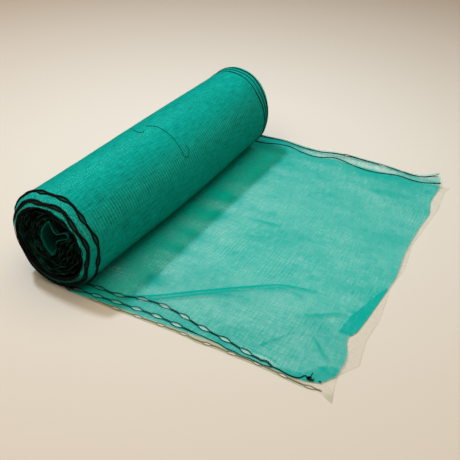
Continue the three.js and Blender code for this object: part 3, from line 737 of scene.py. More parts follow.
def wound_ribbon(name, end_at, inward, seed):
    """A crumpled ribbon wound from inside a rim to the slack middle, and the line of its edge."""
    steps = TURNS * STEPS_A_TURN
    along = np.arange(steps + 1) / STEPS_A_TURN * 2 * pi
    share = np.linspace(0.985, 0.04, steps + 1)
    rim = roll_radius(along, end_at(along)) - 2 * SKIN_WALL
    core = core_radius(along)
    across, up = np.cos(along), np.sin(along)
    ring, fine = points_from(2.2 * across, 2.2 * up, 9 * share), points_from(7 * across, 7 * up, 31 * share)
    buckle = 9 * MM * soft_noise(ring, 1, seed) + 5.5 * MM * soft_noise(fine, 1, seed + 1)
    held = np.minimum(1, 6 * (1 - share)) * np.minimum(1, 5 * share)
    radius = np.minimum(core + (rim - core) * share + buckle * held, rim)
    edge = 3 * MM + 8 * MM * np.sin(pi * share) + 9 * MM * soft_noise(fine, 0.7, seed + 2) * held
    lean = 5 * MM * soft_noise(fine, 0.8, seed + 3) * held
    width = radius + lean * RIBBON_ROWS
    centre_x, centre_z = CORE_CENTRE[:, None] * (1 - share)
    y = end_at(along, share) + inward * (edge + RIBBON_DEPTH * RIBBON_ROWS)
    z = np.maximum(ROLL_AXIS + centre_z + width * up, 2 * MM)
    points = points_from(centre_x + width * across, y, z)
    uv = points_from(along * ROLL_RADIUS * 0.6, RIBBON_ROWS * RIBBON_DEPTH)
    ribbon = cloth_grid(name, points, uv, NET_IN_TURNS, lip=RIBBON_LIP)
    thicken(ribbon, RIBBON_THICK)
    return ribbon, points[0]


near_turns, near_turns_edge = wound_ribbon("turns_near", near_end, 1, 3)
far_turns, far_turns_edge = wound_ribbon("turns_far", far_end, -1, 8)
print("turns", len(near_turns.data.polygons), "faces at each end")

# %% [markdown]
# ## The lip of the slack middle
# The innermost turn stands open as a soft three-cornered pocket, and its edge catches the light. It is a short tube
# on the same three folds, with a rolled lip at its mouth.

# %% The lip of the slack middle
POCKET_DEPTHS = np.array([4, 2.2, 1.6, 2.4, 8, 20, 40, 66])[:, None] * MM
POCKET_GROW = np.array([2.6, 2.0, 1.0, 0.2, 0, 0, 0, 0])[:, None] * MM
POCKET_SET_BACK, POCKET_LIT = 4 * MM, 0.4


def pocket(name, end, inward):
    arms = core_arms[once:2 * once + 1]
    mouth = CORE_CENTRE + arms * (1 + POCKET_GROW / np.hypot(*arms.T))[..., None]
    around = np.linspace(0, 2 * pi, len(arms))
    sway = 1.2 * MM * np.sin(5 * around + 0.6) + 0.8 * MM * np.sin(11 * around)
    y = end + inward * (POCKET_DEPTHS + POCKET_SET_BACK + sway)
    points = points_from(mouth[..., 0], y, ROLL_AXIS + mouth[..., 1])
    points[:, -1] = points[:, 0]
    # painted shade deepens into the pocket and leaves its lip lighter; lit is its share of painted light
    piece = cloth_grid(name, points, points_from(around * 0.04, POCKET_DEPTHS), NET_ON_ROLL,
                       window=0.55 + 0.4 * rise(POCKET_DEPTHS, 2, 8), lit=POCKET_LIT, selvedge=0)
    close_seams(piece)
    return piece


near_pocket = pocket("pocket_near", ROLL_NEAR, 1)
far_pocket = pocket("pocket_far", ROLL_FAR, -1)
print("pockets", len(near_pocket.data.polygons), "faces each")

# %% [markdown]
# ## The loose end
# The free end of the net lies on the floor as one sheet. Its outline, its low swells and its pinched creases have
# known places, so tables give them in millimetres, and the grid's corners are moved to suit. The sheet is a single
# surface, because a second one behind it would make it look twice as dense.

# %% The outline of the loose end
# place along the sheet, inner row of yarn, outer row, edge
NEAR_BAND = np.array([
    (0, -467, -498, -509), (36, -465, -496, -508), (105, -462, -490, -503), (160, -464, -487, -500),
    (210, -450, -483, -497), (270, -442, -480, -496), (335, -449, -482, -493), (380, -459, -485, -492),
    (425, -466, -487, -489), (455, -470, -489, -490), (481, -474, -495, -496), (500, -478, -494.5, -495.5),
    (520, -482, -498, -499), (536, -485, -497, -498), (553, -487.5, -498, -499), (563, -489, -499, -500),
    (570, -486.5, -500, -501), (579, -488, -498.5, -499.5), (591, -494, -497, -498), (606, -495, -497, -498),
    (629, -499, -500, -501), (645, -499.5, -500, -501), (656, -495, -497.5, -498.5), (663, -486, -497, -498),
    (669, -487, -497, -498), (675, -490, -495, -496), (699, -486.5, -487.5, -488.5),
]) * MM
FAR_BAND = np.array([
    (36, 452, 500, 514), (110, 456, 498, 512), (185, 466, 492, 505), (240, 453, 486, 500),
    (300, 443, 483, 499), (355, 458, 490, 507), (430, 444, 498, 512), (510, 433, 494, 508),
    (575, 447, 481, 494), (640, 440, 472, 486), (708, 447, 480, 494),
]) * MM
CUT_END = np.array([
    (699, -488.5), (706, -480), (712, -470), (721, -455), (723, -430), (721, -390), (702, -333), (714, -290),
    (725, -130), (727, -50), (717, 60), (717, 190), (721, 275), (707, 345), (707, 430), (702, 462), (690, 494),
]) * MM
INNER, OUTER, EDGE = [0, 1], [0, 2], [0, 3]


def follow(line, by=0):
    """A function that reads a line: from one part of a place on it, the other part."""
    return lambda value: np.interp(value, line[:, by], line[:, 1 - by])


near_edge = follow(line_through(NEAR_BAND[:, EDGE]))
far_edge = follow(line_through(FAR_BAND[:, EDGE]))
cut_end = follow(line_through(CUT_END), 1)
print("loose end", round(float(cut_end(0.0)), 3), "m out,", round(float(far_edge(0.3) - near_edge(0.3)), 3), "m wide")

# %% Swells and creases
NET_HEIGHT = 2.0 * MM
# middle x and y, length, width, rise, and a turn in degrees where there is one
SWELLS = [
    (716, 505, 62, 60, 32), (360, 480, 70, 60, 7), (150, 470, 60, 60, 5), (545, 430, 70, 60, 5, -10),
    (330, 110, 150, 120, 4, 35), (590, 150, 120, 170, 5, 20), (725, 30, 60, 100, 6), (715, -410, 70, 60, 7),
    (370, -330, 230, 55, 6, 31), (610, -300, 70, 60, 4, 20),
]
# a line on the sheet, its width, its rise, and how much denser the pinched net is
CREASES = [
    ([(120, -462), (160, -462), (186, -452), (244, -420), (338, -350), (418, -288), (480, -242), (530, -226),
      (600, -214)], 7, 3.0, 0.95),
    ([(160, -466), (200, -455), (250, -430), (330, -370), (395, -318), (440, -296)], 6, 2.4, 0.72),
    ([(300, -385), (360, -350), (410, -330), (436, -318)], 7, 1.4, 0.40),
    ([(440, -292), (487, -252), (520, -247), (552, -249)], 8, 1.8, 0.46),
    ([(521, -467), (538, -448), (554, -426), (579, -385), (599, -361)], 7, 1.6, 0.24),
    ([(576, -316), (611, -299), (650, -271), (680, -262)], 11, 1.8, 0.40),
    ([(624, -362), (635, -372), (647, -382), (669, -407), (683, -417), (694, -428)], 5, 2.0, 0.40),
    ([(285, -2), (325, 2), (372, 6)], 9, 1.0, 0.34),
    ([(515, 330), (544, 322), (571, 317), (604, 318)], 9, 1.0, 0.28),
    ([(608, 300), (630, 275), (646, 244), (664, 197)], 5, 0.8, -0.12),
    ([(404, -466), (443, -414), (479, -377)], 9, 1.0, -0.10),
    ([(526, -480), (546, -478), (563, -478), (578, -480), (596, -487)], 7, 2.0, -0.34),
    ([(528, -474), (546, -472), (563, -472), (578, -474), (600, -483)], 5, 1.5, 0.34),
]
# a swirl in the weave: its middle, the step from ring to ring, the width of a ring
SWIRL_X, SWIRL_Y, SWIRL_STEP, SWIRL_WIDTH = 565 * MM, 278 * MM, 20 * MM, 5 * MM


def hills_at(table, x, y):
    """The sum of oval hills at each place: a row is middle x and y, length, width, height, perhaps a turn."""
    total = np.zeros(x.shape)
    for middle_x, middle_y, length, width, height, *turn in table:
        turn = radians(*turn or [0])
        over, past = x - middle_x * MM, y - middle_y * MM
        along = (over * cos(turn) + past * sin(turn)) / (length * MM)
        across = (past * cos(turn) - over * sin(turn)) / (width * MM)
        total = total + height * np.exp(-along ** 2 - across ** 2)
    return total


def lengths_along(line):
    return np.concatenate([[0], np.cumsum(np.linalg.norm(np.diff(line, axis=0), axis=1))])


def distance_to(line, x, y):
    """How far each place is from a line on the sheet, and how far along the line, as a share."""
    start = lengths_along(line)
    nearest, share = np.full(x.shape, np.inf), np.zeros(x.shape)
    for i, length in enumerate(np.diff(start)):
        step_x, step_y = (line[i + 1] - line[i]) / length
        over, past = x - line[i, 0], y - line[i, 1]
        along = np.clip(over * step_x + past * step_y, 0, length)
        away = np.hypot(over - along * step_x, past - along * step_y)
        share = np.where(away < nearest, (start[i] + along) / start[-1], share)
        nearest = np.minimum(nearest, away)
    return nearest, share


def crease_marks(x, y):
    """The height that the creases add, and how much denser the net is on them."""
    height, denser = np.zeros_like(x), np.zeros_like(x)
    for path, width, lift, dense in CREASES:
        away, share = distance_to(line_through(np.array(path) * MM, 6), x, y)
        taper = np.sin(pi * np.clip(share, 0.02, 0.98)) ** 0.6
        height = np.maximum(height, lift * MM * hill(away, 0, 0.5 * width * MM) * taper)
        mark = dense * hill(away, 0, 0.6 * width * MM) * taper
        denser = np.where(np.abs(mark) > np.abs(denser), mark, denser)
    from_swirl = np.hypot(x - SWIRL_X, 0.7 * (y - SWIRL_Y))
    rings = hill(np.abs(from_swirl % SWIRL_STEP - SWIRL_STEP / 2), 0, SWIRL_WIDTH)
    return height, denser - 0.10 * (from_swirl < 2 * SWIRL_STEP) * rings


print(len(SWELLS), "swells and", len(CREASES), "creases")

# %% How dense the net is
BASE_DENSITY = 0.53
# middle x and y, length, width, how much denser, and a turn in degrees where there is one
DENSE_PLACES = [
    (60, -20, 110, 620, 0.34), (330, 440, 420, 50, 0.20), (600, 410, 130, 50, 0.16), (240, 320, 130, 70, 0.08),
    (420, 330, 170, 30, 0.06, 6), (640, 60, 90, 190, 0.05), (167, 234, 40, 48, 0.34), (160, 72, 40, 26, 0.34),
    (176, -36, 36, 24, 0.30), (178, -143, 36, 22, 0.24), (178, -229, 36, 24, 0.34), (160, -300, 60, 40, -0.30),
    (140, 141, 50, 30, -0.20), (152, 22, 54, 28, -0.36), (140, -100, 60, 36, -0.34), (150, -250, 54, 22, -0.36),
    (95, -385, 70, 40, -0.34), (190, 340, 40, 26, 0.10), (120, -170, 50, 24, -0.24), (130, 228, 40, 24, -0.16),
    (197, -368, 30, 30, 0.30), (110, 478, 110, 26, 0.28), (420, -345, 190, 70, -0.06, 31),
    (560, -390, 150, 60, -0.02, 25), (230, -90, 60, 230, -0.09), (213, -276, 40, 40, -0.08),
    (292, -142, 60, 50, -0.06), (211, 305, 40, 20, -0.14), (219, 172, 30, 45, -0.10),
    (300, 130, 130, 80, -0.03, 10), (430, 325, 50, 14, -0.10), (569, 263, 40, 24, -0.06),
    (421, 160, 40, 30, -0.05), (511, 10, 60, 30, -0.05), (301, 49, 60, 12, 0.09, 8), (429, 236, 60, 11, 0.13, 4),
    (327, 4, 60, 12, 0.09, 6), (561, 153, 40, 20, 0.11), (580, 331, 60, 16, 0.10), (316, 424, 60, 14, 0.14),
    (501, 418, 60, 14, 0.14), (432, 90, 40, 12, 0.08, 20), (640, 16, 60, 16, 0.08), (323, -87, 60, 22, 0.07, 8),
    (426, -98, 60, 20, 0.07, 8), (705, -215, 30, 90, 0.08),
]
# where the lines of the weave stand out, in the same way
BASE_LINES = 0.03
LINED_PLACES = [
    (450, -170, 90, 90, 0.17), (690, 210, 80, 80, 0.17), (470, 90, 70, 70, 0.17), (300, -160, 60, 60, 0.17),
    (600, -340, 60, 60, 0.17),
]
# the near corner of the cut end is turned under outside this line
CORNER_FOLD = np.array([(590, -494), (602, -487), (621, -481), (637, -481), (654, -476), (666, -464), (676, -453),
                        (686, -441), (724, -430)]) * MM


def density_at(x, y):
    density = BASE_DENSITY + hills_at(DENSE_PLACES, x, y)
    looser = 0.12 - 0.14 * hill(x, 0.28, 0.05) + 0.16 * hill(x, 0.47, 0.06)
    density = density + looser * rise(follow(NEAR_BAND[:, INNER])(x) - y, 0, 6)
    far_inner, far_outer = follow(FAR_BAND[:, INNER])(x), follow(FAR_BAND[:, OUTER])(x)
    gap = far_outer - far_inner
    between = np.sin(pi * np.clip((y - far_inner) / gap, 0, 1))
    density = density - 0.30 * between ** 2 * rise(x, 225, 265) * rise(gap, 28, 44)
    density = density - 0.12 * rise(y - far_outer, 1, 5)
    return density + 0.27 * rise(follow(CORNER_FOLD)(x) - y, -3, 7) * rise(x, 585, 605)


print(len(DENSE_PLACES), "denser and looser places")

# %% The sheet
SHEET_FROM, SHEET_FROM_END = 4 * MM, 38 * MM
SHEET_COLUMNS = 236
FINE_SHARE = 0.08
net_share = np.concatenate([
    np.linspace(0, FINE_SHARE, 50, endpoint=False),
    np.linspace(FINE_SHARE, 1 - FINE_SHARE, 236, endpoint=False), np.linspace(1 - FINE_SHARE, 1, 41),
])


def sheet_start(y):
    return SHEET_FROM + (SHEET_FROM_END - SHEET_FROM) * rise(y, 385, 440)


def plan_between(start, stop, near, far, over, columns):
    """Where a sheet's corners lie in plan, between its start, its cut end and its two edges."""
    out = np.linspace(0, 1, columns + 1)
    y = np.broadcast_to(-0.5 + over[:, None], (len(over), columns + 1))
    for _ in range(4):
        x = start(y) + (stop(y) - start(y)) * out
        y = near(x) + (far(x) - near(x)) * over[:, None]
    return x, y


def under_roll(x, y):
    """The height of the roll's underside above each place, just past its skin."""
    radius = roll_radius(-np.arccos(np.clip(x / ROLL_RADIUS, -0.9, 0.9)), y)
    return np.maximum(ROLL_AXIS - np.sqrt(np.clip(radius ** 2 - x ** 2, 0, None)), 0)


def sheet_height(x, y):
    swell = MM * hills_at(SWELLS, x, y) * rise(x, 50, 150)
    flat = NET_HEIGHT + swell + crease_marks(x, y)[0]
    tucked = under_roll(x, np.minimum(y, far_end(-pi / 2))) - 0.6 * MM
    return np.clip(flat + (tucked - flat) * fall(x, 8, 44), 0.6 * MM, None)


sheet_x, sheet_y = plan_between(sheet_start, cut_end, near_edge, far_edge, net_share, SHEET_COLUMNS)
print("sheet", sheet_x.shape, "corners")

# %% [markdown]
# ## Eyelets in the sheet
# An open eyelet is an almond hole. A boolean would cut it, but on a fine grid it is neater to slide the nearest
# corners onto the almond and delete the faces inside.

# %% Eyelets in the sheet
NEAR_INNER_EYELETS = 64 * MM + 61 * MM * np.arange(8)
NEAR_OUTER_EYELETS = 22 * MM + 56.5 * MM * np.arange(6)
FAR_OUTER_EYELETS = np.array([28, 350, 470, 658]) * MM
FAR_EYELET_LENGTH, FAR_EYELET_WIDTH = 28 * MM, 12 * MM
YARN_ROOM = 2 * MM
SNAP = 1.3 * MM


def place_on(line, distances):
    """Points at distances along a line, and the line's direction there."""
    along = lengths_along(line)

    def at(where):
        return np.stack([np.interp(where, along, line[:, k]) for k in (0, 1)], axis=-1)

    direction = at(distances + 1 * MM) - at(distances - 1 * MM)
    return at(distances), direction / np.linalg.norm(direction, axis=-1, keepdims=True)


def open_eyelets(x, y, line, distances, length, width):
    """Slides corners near almonds on a line onto them, and says which corners are in one or on one."""
    inside = np.zeros(x.shape, bool)
    for (middle_x, middle_y), (step_x, step_y) in zip(*place_on(line, distances)):
        over, past = x - middle_x, y - middle_y
        along, across = over * step_x + past * step_y, past * step_x - over * step_y
        half = almond_half_width(along, length, width)
        near = (np.abs(np.abs(across) - half) < SNAP) & (np.abs(along) < length / 2)
        placed = np.where(near, np.sign(across) * half, across)
        x = np.where(near, middle_x + along * step_x - placed * step_y, x)
        y = np.where(near, middle_y + along * step_y + placed * step_x, y)
        inside |= (np.abs(placed) <= half + 1e-7) & (np.abs(along) <= length / 2)
    return x, y, inside


def delete_inside(piece, inside):
    """Deletes the faces whose corners are all inside an opening."""
    pick(piece)
    bpy.ops.object.mode_set(mode="EDIT")
    bpy.ops.mesh.select_all(action="DESELECT")
    bpy.ops.object.mode_set(mode="OBJECT")
    flags = inside.ravel()
    gone = [bool(flags[list(p.vertices)].all()) for p in piece.data.polygons]
    piece.data.polygons.foreach_set("select", gone)
    bpy.ops.object.mode_set(mode="EDIT")
    bpy.ops.mesh.select_mode(type="FACE")
    bpy.ops.mesh.delete(type="FACE")
    bpy.ops.object.mode_set(mode="OBJECT")
    return sum(gone)


open_rows = [
    (line_through(NEAR_BAND[1:, INNER]), NEAR_INNER_EYELETS, EYELET_LENGTH, EYELET_WIDTH),
    (line_through(NEAR_BAND[1:, OUTER]), NEAR_OUTER_EYELETS, EYELET_LENGTH, EYELET_WIDTH),
    (line_through(FAR_BAND[:, OUTER]), FAR_OUTER_EYELETS, FAR_EYELET_LENGTH, FAR_EYELET_WIDTH),
]
sheet_inside = np.zeros(sheet_x.shape, bool)
for line, distances, length, width in open_rows:
    sheet_x, sheet_y, found = open_eyelets(sheet_x, sheet_y, line, distances, length - YARN_ROOM, width - YARN_ROOM)
    sheet_inside |= found
print("corners in eyelets", sheet_inside.sum())

# %% The loose end as a sheet
SHEET_UNEVEN = 0.5 * MM
DOUBLED_STEP = 0.38

flat_places = points_from(sheet_x, sheet_y, 0.0)
ripple = soft_noise(flat_places, 11, 21) + 0.5 * soft_noise(flat_places, 29, 22)
sheet_z = sheet_height(sheet_x, sheet_y) + SHEET_UNEVEN * ripple * rise(sheet_x, 60, 140)
# painted light: the net in the roll's shadow is painted a lighter green, fading in two steps out to the shadow's edge
doubled = 1 - DOUBLED_STEP * rise(sheet_x, 95, 140) - (1 - DOUBLED_STEP) * rise(sheet_x, 146, 208)
from_sag = sheet_x - 10 * MM * np.cos(pi * np.clip(sheet_y, -0.5, 0.5)) ** 2
# painted shade: a dark green where the sheet meets the roll, along the near strip beside it and at the far band by it
tucked = 0.9 * (1 - 0.3 * rise(sheet_y, 50, 350)) * fall(from_sag, 34, 72)
near_side = np.maximum(0.15 * fall(sheet_y, -420, -180), 0.32 * fall(sheet_y, -460, -440) * fall(sheet_x, 160, 230))
far_corner = 0.5 * hill(sheet_x, 0.05, 0.11) * hill(sheet_y, 0.49, 0.035)
loose_sheet = cloth_grid(
    "loose_end", points_from(sheet_x, sheet_y, sheet_z), points_from(sheet_x, sheet_y), NET_SHEER,
    cover=density_at(sheet_x, sheet_y) + crease_marks(sheet_x, sheet_y)[1],
    lined=BASE_LINES + hills_at(LINED_PLACES, sheet_x, sheet_y),
    doubled=doubled * rise(0.43 - sheet_y, 0, 60),
    tucked=np.maximum(np.maximum(tucked, near_side), far_corner))
removed = delete_inside(loose_sheet, sheet_inside)
print("loose end", len(loose_sheet.data.polygons), "faces, after", removed, "were taken out for eyelets")

# %% [markdown]
# ## Where the net is turned under
# At the cut end a long wedge of the net is folded under, so two layers lie there and it looks darker. The flap is a
# strip of its own, a little below the sheet, from the fold to its own cut edge.

# %% Turned-under wedge
WEDGE = np.array([(-322, 676), (-316, 676), (-275, 678), (-222, 690), (-150, 709), (-118, 722)]) * MM
WEDGE_ROWS, WEDGE_COLUMNS = 90, 14
WEDGE_COVER = 0.92
FLAP_DROP = 0.7 * MM

wedge_y = np.linspace(WEDGE[0, 0], WEDGE[-1, 0], WEDGE_ROWS)[:, None]
wedge_fold = cut_end(wedge_y)
wedge_inner = np.minimum(follow(line_through(WEDGE))(wedge_y), wedge_fold - 0.5 * MM)
wedge_out = np.linspace(0, 1, WEDGE_COLUMNS)
wedge_x, wedge_y = np.broadcast_arrays(wedge_inner + (wedge_fold - wedge_inner) * wedge_out, wedge_y)
wedge_z = sheet_height(wedge_x, wedge_y) - FLAP_DROP * (1 - wedge_out ** 6)
wedge = cloth_grid("turned_wedge", points_from(wedge_x, wedge_y, wedge_z), points_from(wedge_x, wedge_y), NET_SHEER,
                   cover=WEDGE_COVER, lined=BASE_LINES, doubled=0, tucked=0)
print("wedge", len(wedge.data.polygons), "faces")

# %% [markdown]
# ## The clear ply
# A second, nearly clear net lies under the green one and shows past it at the near edge and at the cut end, where it
# is ragged. It is made as the sheet was. Where it lies under the green net, the green light that falls through
# that net is painted on it, and a bluer green is painted on it in the roll's shadow.

# %% The outline of the clear ply
UNDER_NEAR = np.array([
    (28, -504), (90, -508), (170, -509), (250, -507), (363, -505), (412, -509), (456, -506), (500, -507),
    (552, -507), (595, -509), (667, -515), (706, -513), (722, -519), (742, -528),
]) * MM
UNDER_CUT = np.array([
    (742, -528), (735, -502), (728, -474), (725, -450), (754, -400), (741, -320), (745, -238), (730, -110),
    (737, -15), (723, 96), (729, 200), (737, 315), (728, 421), (737, 459),
]) * MM
UNDER_FROM, UNDER_FAR, UNDER_HEIGHT = 52 * MM, 458 * MM, 0.5 * MM
UNDER_COLUMNS, UNDER_ROWS = 200, 260
UNDER_EYELETS = 90 * MM + 63 * MM * np.arange(10)
UNDER_EYELET_LENGTH, UNDER_EYELET_WIDTH = 25 * MM, 7 * MM
UNDER_ROW_INSET, UNDER_ROW_TO = 6.5 * MM, 0.71

under_near_line = line_through(UNDER_NEAR)
under_edge, under_cut = follow(under_near_line), follow(UNDER_CUT, 1)
under_row_line = under_near_line[under_near_line[:, 0] < UNDER_ROW_TO] + np.array([0, UNDER_ROW_INSET])
under_x, under_y = plan_between(lambda y: UNDER_FROM, under_cut, under_edge, lambda x: UNDER_FAR,
                                np.linspace(0, 1, UNDER_ROWS + 1) ** 1.35, UNDER_COLUMNS)
under_x, under_y, under_inside = open_eyelets(under_x, under_y, under_row_line, UNDER_EYELETS,
                                              UNDER_EYELET_LENGTH, UNDER_EYELET_WIDTH)
print("clear ply", under_x.shape, "corners")

# %% The clear ply
CLEAR_COVER, CLEAR_EDGE, CLEAR_CUT, CLEAR_TIP = 0.11, 0.68, 0.14, 0.28
CLEAR_UNDER_GREEN, CLEAR_IN_SHADE = 0.80, 0.45
# how far round the eyelets of the two near rows the ply is bare or backed by green, and how much
BEHIND_EYELETS, BARE_SHARE, BACKED_SHARE = (14 * MM, 9 * MM), 0.12, 0.9

to_edge = np.minimum(cut_end(under_y) - under_x, under_y - near_edge(under_x))
under_green = rise(to_edge, -2, 3) * rise(far_edge(under_x) - under_y, -2, 2)
under_tip = hill(under_x, 0.734, 0.016) * hill(under_y, -0.516, 0.014)
under_cover = (CLEAR_COVER + CLEAR_EDGE * fall(under_y - under_edge(under_x), 14, 30) * fall(under_x, 620, 700)
               + CLEAR_CUT * fall(under_cut(under_y) - under_x, 1, 4) + CLEAR_TIP * under_tip)
# the ply in the roll's shadow, which is denser there and painted a bluer green
under_shade = fall(under_x, 174, 216)
under_cover = under_cover + (CLEAR_UNDER_GREEN + CLEAR_IN_SHADE * under_shade - under_cover) * under_green
bare, backed = np.zeros(under_x.shape), np.zeros(under_x.shape)
for row, spread in zip(open_rows, BEHIND_EYELETS):
    for middle_x, middle_y in place_on(*row[:2])[0]:
        there = hill(np.hypot(under_x - middle_x, under_y - middle_y), 0, spread)
        bare = np.maximum(bare, there * rise(middle_x, 200, 330))
        backed = np.maximum(backed, there * fall(middle_x, 60, 260))
under_green = under_green * (1 - BARE_SHARE * bare)
clear_sheet = cloth_grid(
    "clear_ply", points_from(under_x, under_y, UNDER_HEIGHT), points_from(under_x, under_y), NET_CLEAR,
    cover=under_cover, mint=under_green, shaded=under_green * under_shade, backed=BACKED_SHARE * backed)
delete_inside(clear_sheet, under_inside)
print("clear ply", len(clear_sheet.data.polygons), "faces")

# %% [markdown]
# ## The binding yarn
# Each row is two strands of yarn. Between eyelets they are twisted together, and at an eyelet they part round the
# hole. A curve with a round bevel makes a strand, and converting it to a mesh fixes it. The same function makes the
# rows on the sheet, round the roll and on the clear ply: only the line that carries them differs.

# %% Twisted strands
TWIST = 11 * MM
YARN_STEP = 1.2 * MM
STRAYS = 55
TWIST_FLATNESS = 0.6


def tubes(name, lines, radius, finish=BLACK_YARN, swelling=None):
    """Round strands along lines of points, as one mesh; a strand may swell and thin along its length."""
    piece = new_curve(name, radius, 1, finish)
    for line in lines:
        points = piece.data.splines.new("POLY").points
        points.add(len(line) - 1)
        points.foreach_set("co", np.c_[line, np.ones(len(line))].astype(np.float32).ravel())
        if swelling is not None:
            points.foreach_set("radius", swelling.astype(np.float32))
    pick(piece)
    bpy.ops.object.convert(target="MESH")
    return bpy.context.object


def uneven_along(along, repeats, seed):
    """Noise along a line, between about -1 and 1."""
    return soft_noise(points_from(along * repeats, 0.0, 0.0), 1, seed)


def eyelet_list(distances, length, width, radius=0.0):
    """Eyelets for the strands to part round, measured to the middle of the yarn."""
    return [(d, length, width - 2 * radius) for d in distances]


def two_strands(along, centre, side, up, eyelets, reach, lift, stray, seed):
    """Two strands on a line: parted round each eyelet (middle, length, width), twisted in between."""
    half, turn = np.zeros_like(along), np.zeros_like(along)
    ends = [along[0]]
    for middle, length, width in eyelets:
        half = np.maximum(half, almond_half_width(along - middle, length, width))
        ends += [middle - length / 2, middle + length / 2]
    ends.append(along[-1])
    for start, stop in zip(ends[::2], ends[1::2]):
        if stop - start > 1 * MM:
            turns = max(1, round((stop - start) / TWIST))
            turn += 2 * pi * turns * np.clip((along - start) / (stop - start), 0, 1)
    twist = reach * (1 - np.clip(half / (2 * reach), 0, 1))
    apart = (half + twist * np.cos(turn))[:, None] * side + (TWIST_FLATNESS * twist * np.sin(turn))[:, None] * up
    base = centre + lift * up + (stray * uneven_along(along, STRAYS, seed))[:, None] * side
    return [base + apart, base - apart]


def yarn_on_sheet(name, line, eyelets, reach, stray, seed, radius, thinning=None, lift=1.0 * MM,
                  height_at=sheet_height, finish=BLACK_YARN):
    """A row on a sheet; how far the strands reach and how thin they are may change along it."""
    length = lengths_along(line)[-1]
    along = np.linspace(0, length, int(length / YARN_STEP))
    points, direction = place_on(line, along)
    centre = np.c_[points, height_at(*points.T)]
    side = np.c_[-direction[:, 1], direction[:, 0], np.zeros(len(along))]
    up = np.broadcast_to(np.array([0.0, 0, 1]), side.shape)
    share = along / length
    strands = two_strands(along, centre, side, up, eyelets, reach(share), lift, stray, seed)
    return tubes(name, strands, radius, finish, thinning and thinning(share))


print("a twist takes", round(TWIST / MM), "mm")

# %% Yarn on the sheet
YARN_RADIUS, FAR_YARN_RADIUS, CLEAR_YARN_RADIUS = 0.95 * MM, 1.15 * MM, 0.8 * MM
TWIST_REACH = 2.2 * MM
# share of the far outer row, reach, how much thicker
FAR_OUTER_SWELLS = [(0.05, 0.09, 0.6), (0.19, 0.03, -0.45), (0.55, 0.12, 0.35), (0.72, 0.04, -0.3)]


def last_part(share):
    """1 on the last part of the near inner row, which leads to the knot."""
    return smooth_step(share, 0.84, 0.88)


def without_eyelets(share):
    """1 on the last part of the near outer row, where it is a single line along the edge."""
    return smooth_step(share, 0.60, 0.66)


def far_outer_thinning(share):
    return 1 + 0.5 * uneven_along(share, 26, 36) + sum(
        amount * hill(share, middle, width) for middle, width, amount in FAR_OUTER_SWELLS)


row_near_inner = yarn_on_sheet(
    "yarn_near_inner", line_through(NEAR_BAND[1:-1, INNER]),
    eyelet_list(NEAR_INNER_EYELETS, EYELET_LENGTH, EYELET_WIDTH, YARN_RADIUS),
    lambda share: TWIST_REACH * (1 - 0.6 * last_part(share)), 0.9 * MM, 31, YARN_RADIUS,
    lambda share: 1 - 0.2 * last_part(share))
row_near_outer = yarn_on_sheet(
    "yarn_near_outer", line_through(NEAR_BAND[1:19, OUTER]),
    eyelet_list(NEAR_OUTER_EYELETS, EYELET_LENGTH, EYELET_WIDTH, YARN_RADIUS),
    lambda share: TWIST_REACH * (1 - 0.8 * without_eyelets(share)), 0.6 * MM, 32, YARN_RADIUS,
    lambda share: 1 - 0.42 * without_eyelets(share))
row_far_inner = yarn_on_sheet(
    "yarn_far_inner", line_through(FAR_BAND[:, INNER]), [], lambda share: 0.9 * MM, 0.9 * MM, 33, FAR_YARN_RADIUS,
    lambda share: 1 + 0.35 * uneven_along(share, 22, 34))
row_far_outer = yarn_on_sheet(
    "yarn_far_outer", line_through(np.vstack([FAR_BAND[:-1, OUTER], [(0.691, 0.477)]])),
    eyelet_list(FAR_OUTER_EYELETS, FAR_EYELET_LENGTH, FAR_EYELET_WIDTH, FAR_YARN_RADIUS),
    lambda share: 1.6 * MM, 1.5 * MM, 35, FAR_YARN_RADIUS, far_outer_thinning)
under_yarn = yarn_on_sheet(
    "yarn_clear_ply", under_row_line, eyelet_list(UNDER_EYELETS, UNDER_EYELET_LENGTH, UNDER_EYELET_WIDTH),
    lambda share: 1.2 * MM, 1.2 * MM, 37, CLEAR_YARN_RADIUS, lift=1.1 * MM,
    height_at=lambda x, y: np.full_like(x, UNDER_HEIGHT), finish=PALE_YARN)
print("yarn on the sheet", len(row_near_inner.data.polygons), "faces in the near inner row")

# %% Yarn round the roll
ROW_STEPS = 560
ROLL_YARN, RIM_YARN = 2.0 * MM, 2.5 * MM
RIM_TO = radians(300)
# distance from the far end, radius of the yarn
FAR_ROWS = {"inner": (48 * MM, 0.8 * MM), "middle": (29 * MM, 0.65 * MM), "outer": (12 * MM, 1.1 * MM)}


def yarn_on_roll(name, line_at, eyelets, reach, lift, stray, seed, radius, stop=ROW_TO, thinning=None):
    """A row round the roll; thinning gives a share for an angle in degrees."""
    angle = np.linspace(ROW_FROM, stop, ROW_STEPS)
    y = line_at(angle)
    centre = on_roll(angle, y)
    side = on_roll(angle, y + 0.5 * MM) - centre
    side /= np.linalg.norm(side, axis=-1, keepdims=True)
    up = np.cross(side, np.gradient(centre, axis=0))
    up /= np.linalg.norm(up, axis=-1, keepdims=True)
    up *= np.sign((up * points_from(np.cos(angle), 0.0, np.sin(angle))).sum(-1, keepdims=True))
    thin = thinning and thinning(np.degrees(angle))
    return tubes(name, two_strands((angle - ROW_FROM) * ROLL_RADIUS, centre, side, up, eyelets,
                                   reach(thin), lift, stray, seed), radius, BLACK_YARN, thin)


def near_row_eyelets(width, radius):
    return eyelet_list((eyelet_angles - ROW_FROM) * ROLL_RADIUS, EYELET_LENGTH, width, radius)


def thin_behind_rim(degrees):
    return 1 - 0.72 * smooth_step(degrees, 140, 175) * (1 - smooth_step(degrees, 205, 235))


def thin_at_far_end(degrees):
    return 1 - 0.55 * smooth_step(degrees, 92, 112) - 0.55 * (1 - smooth_step(degrees, -12, 12))


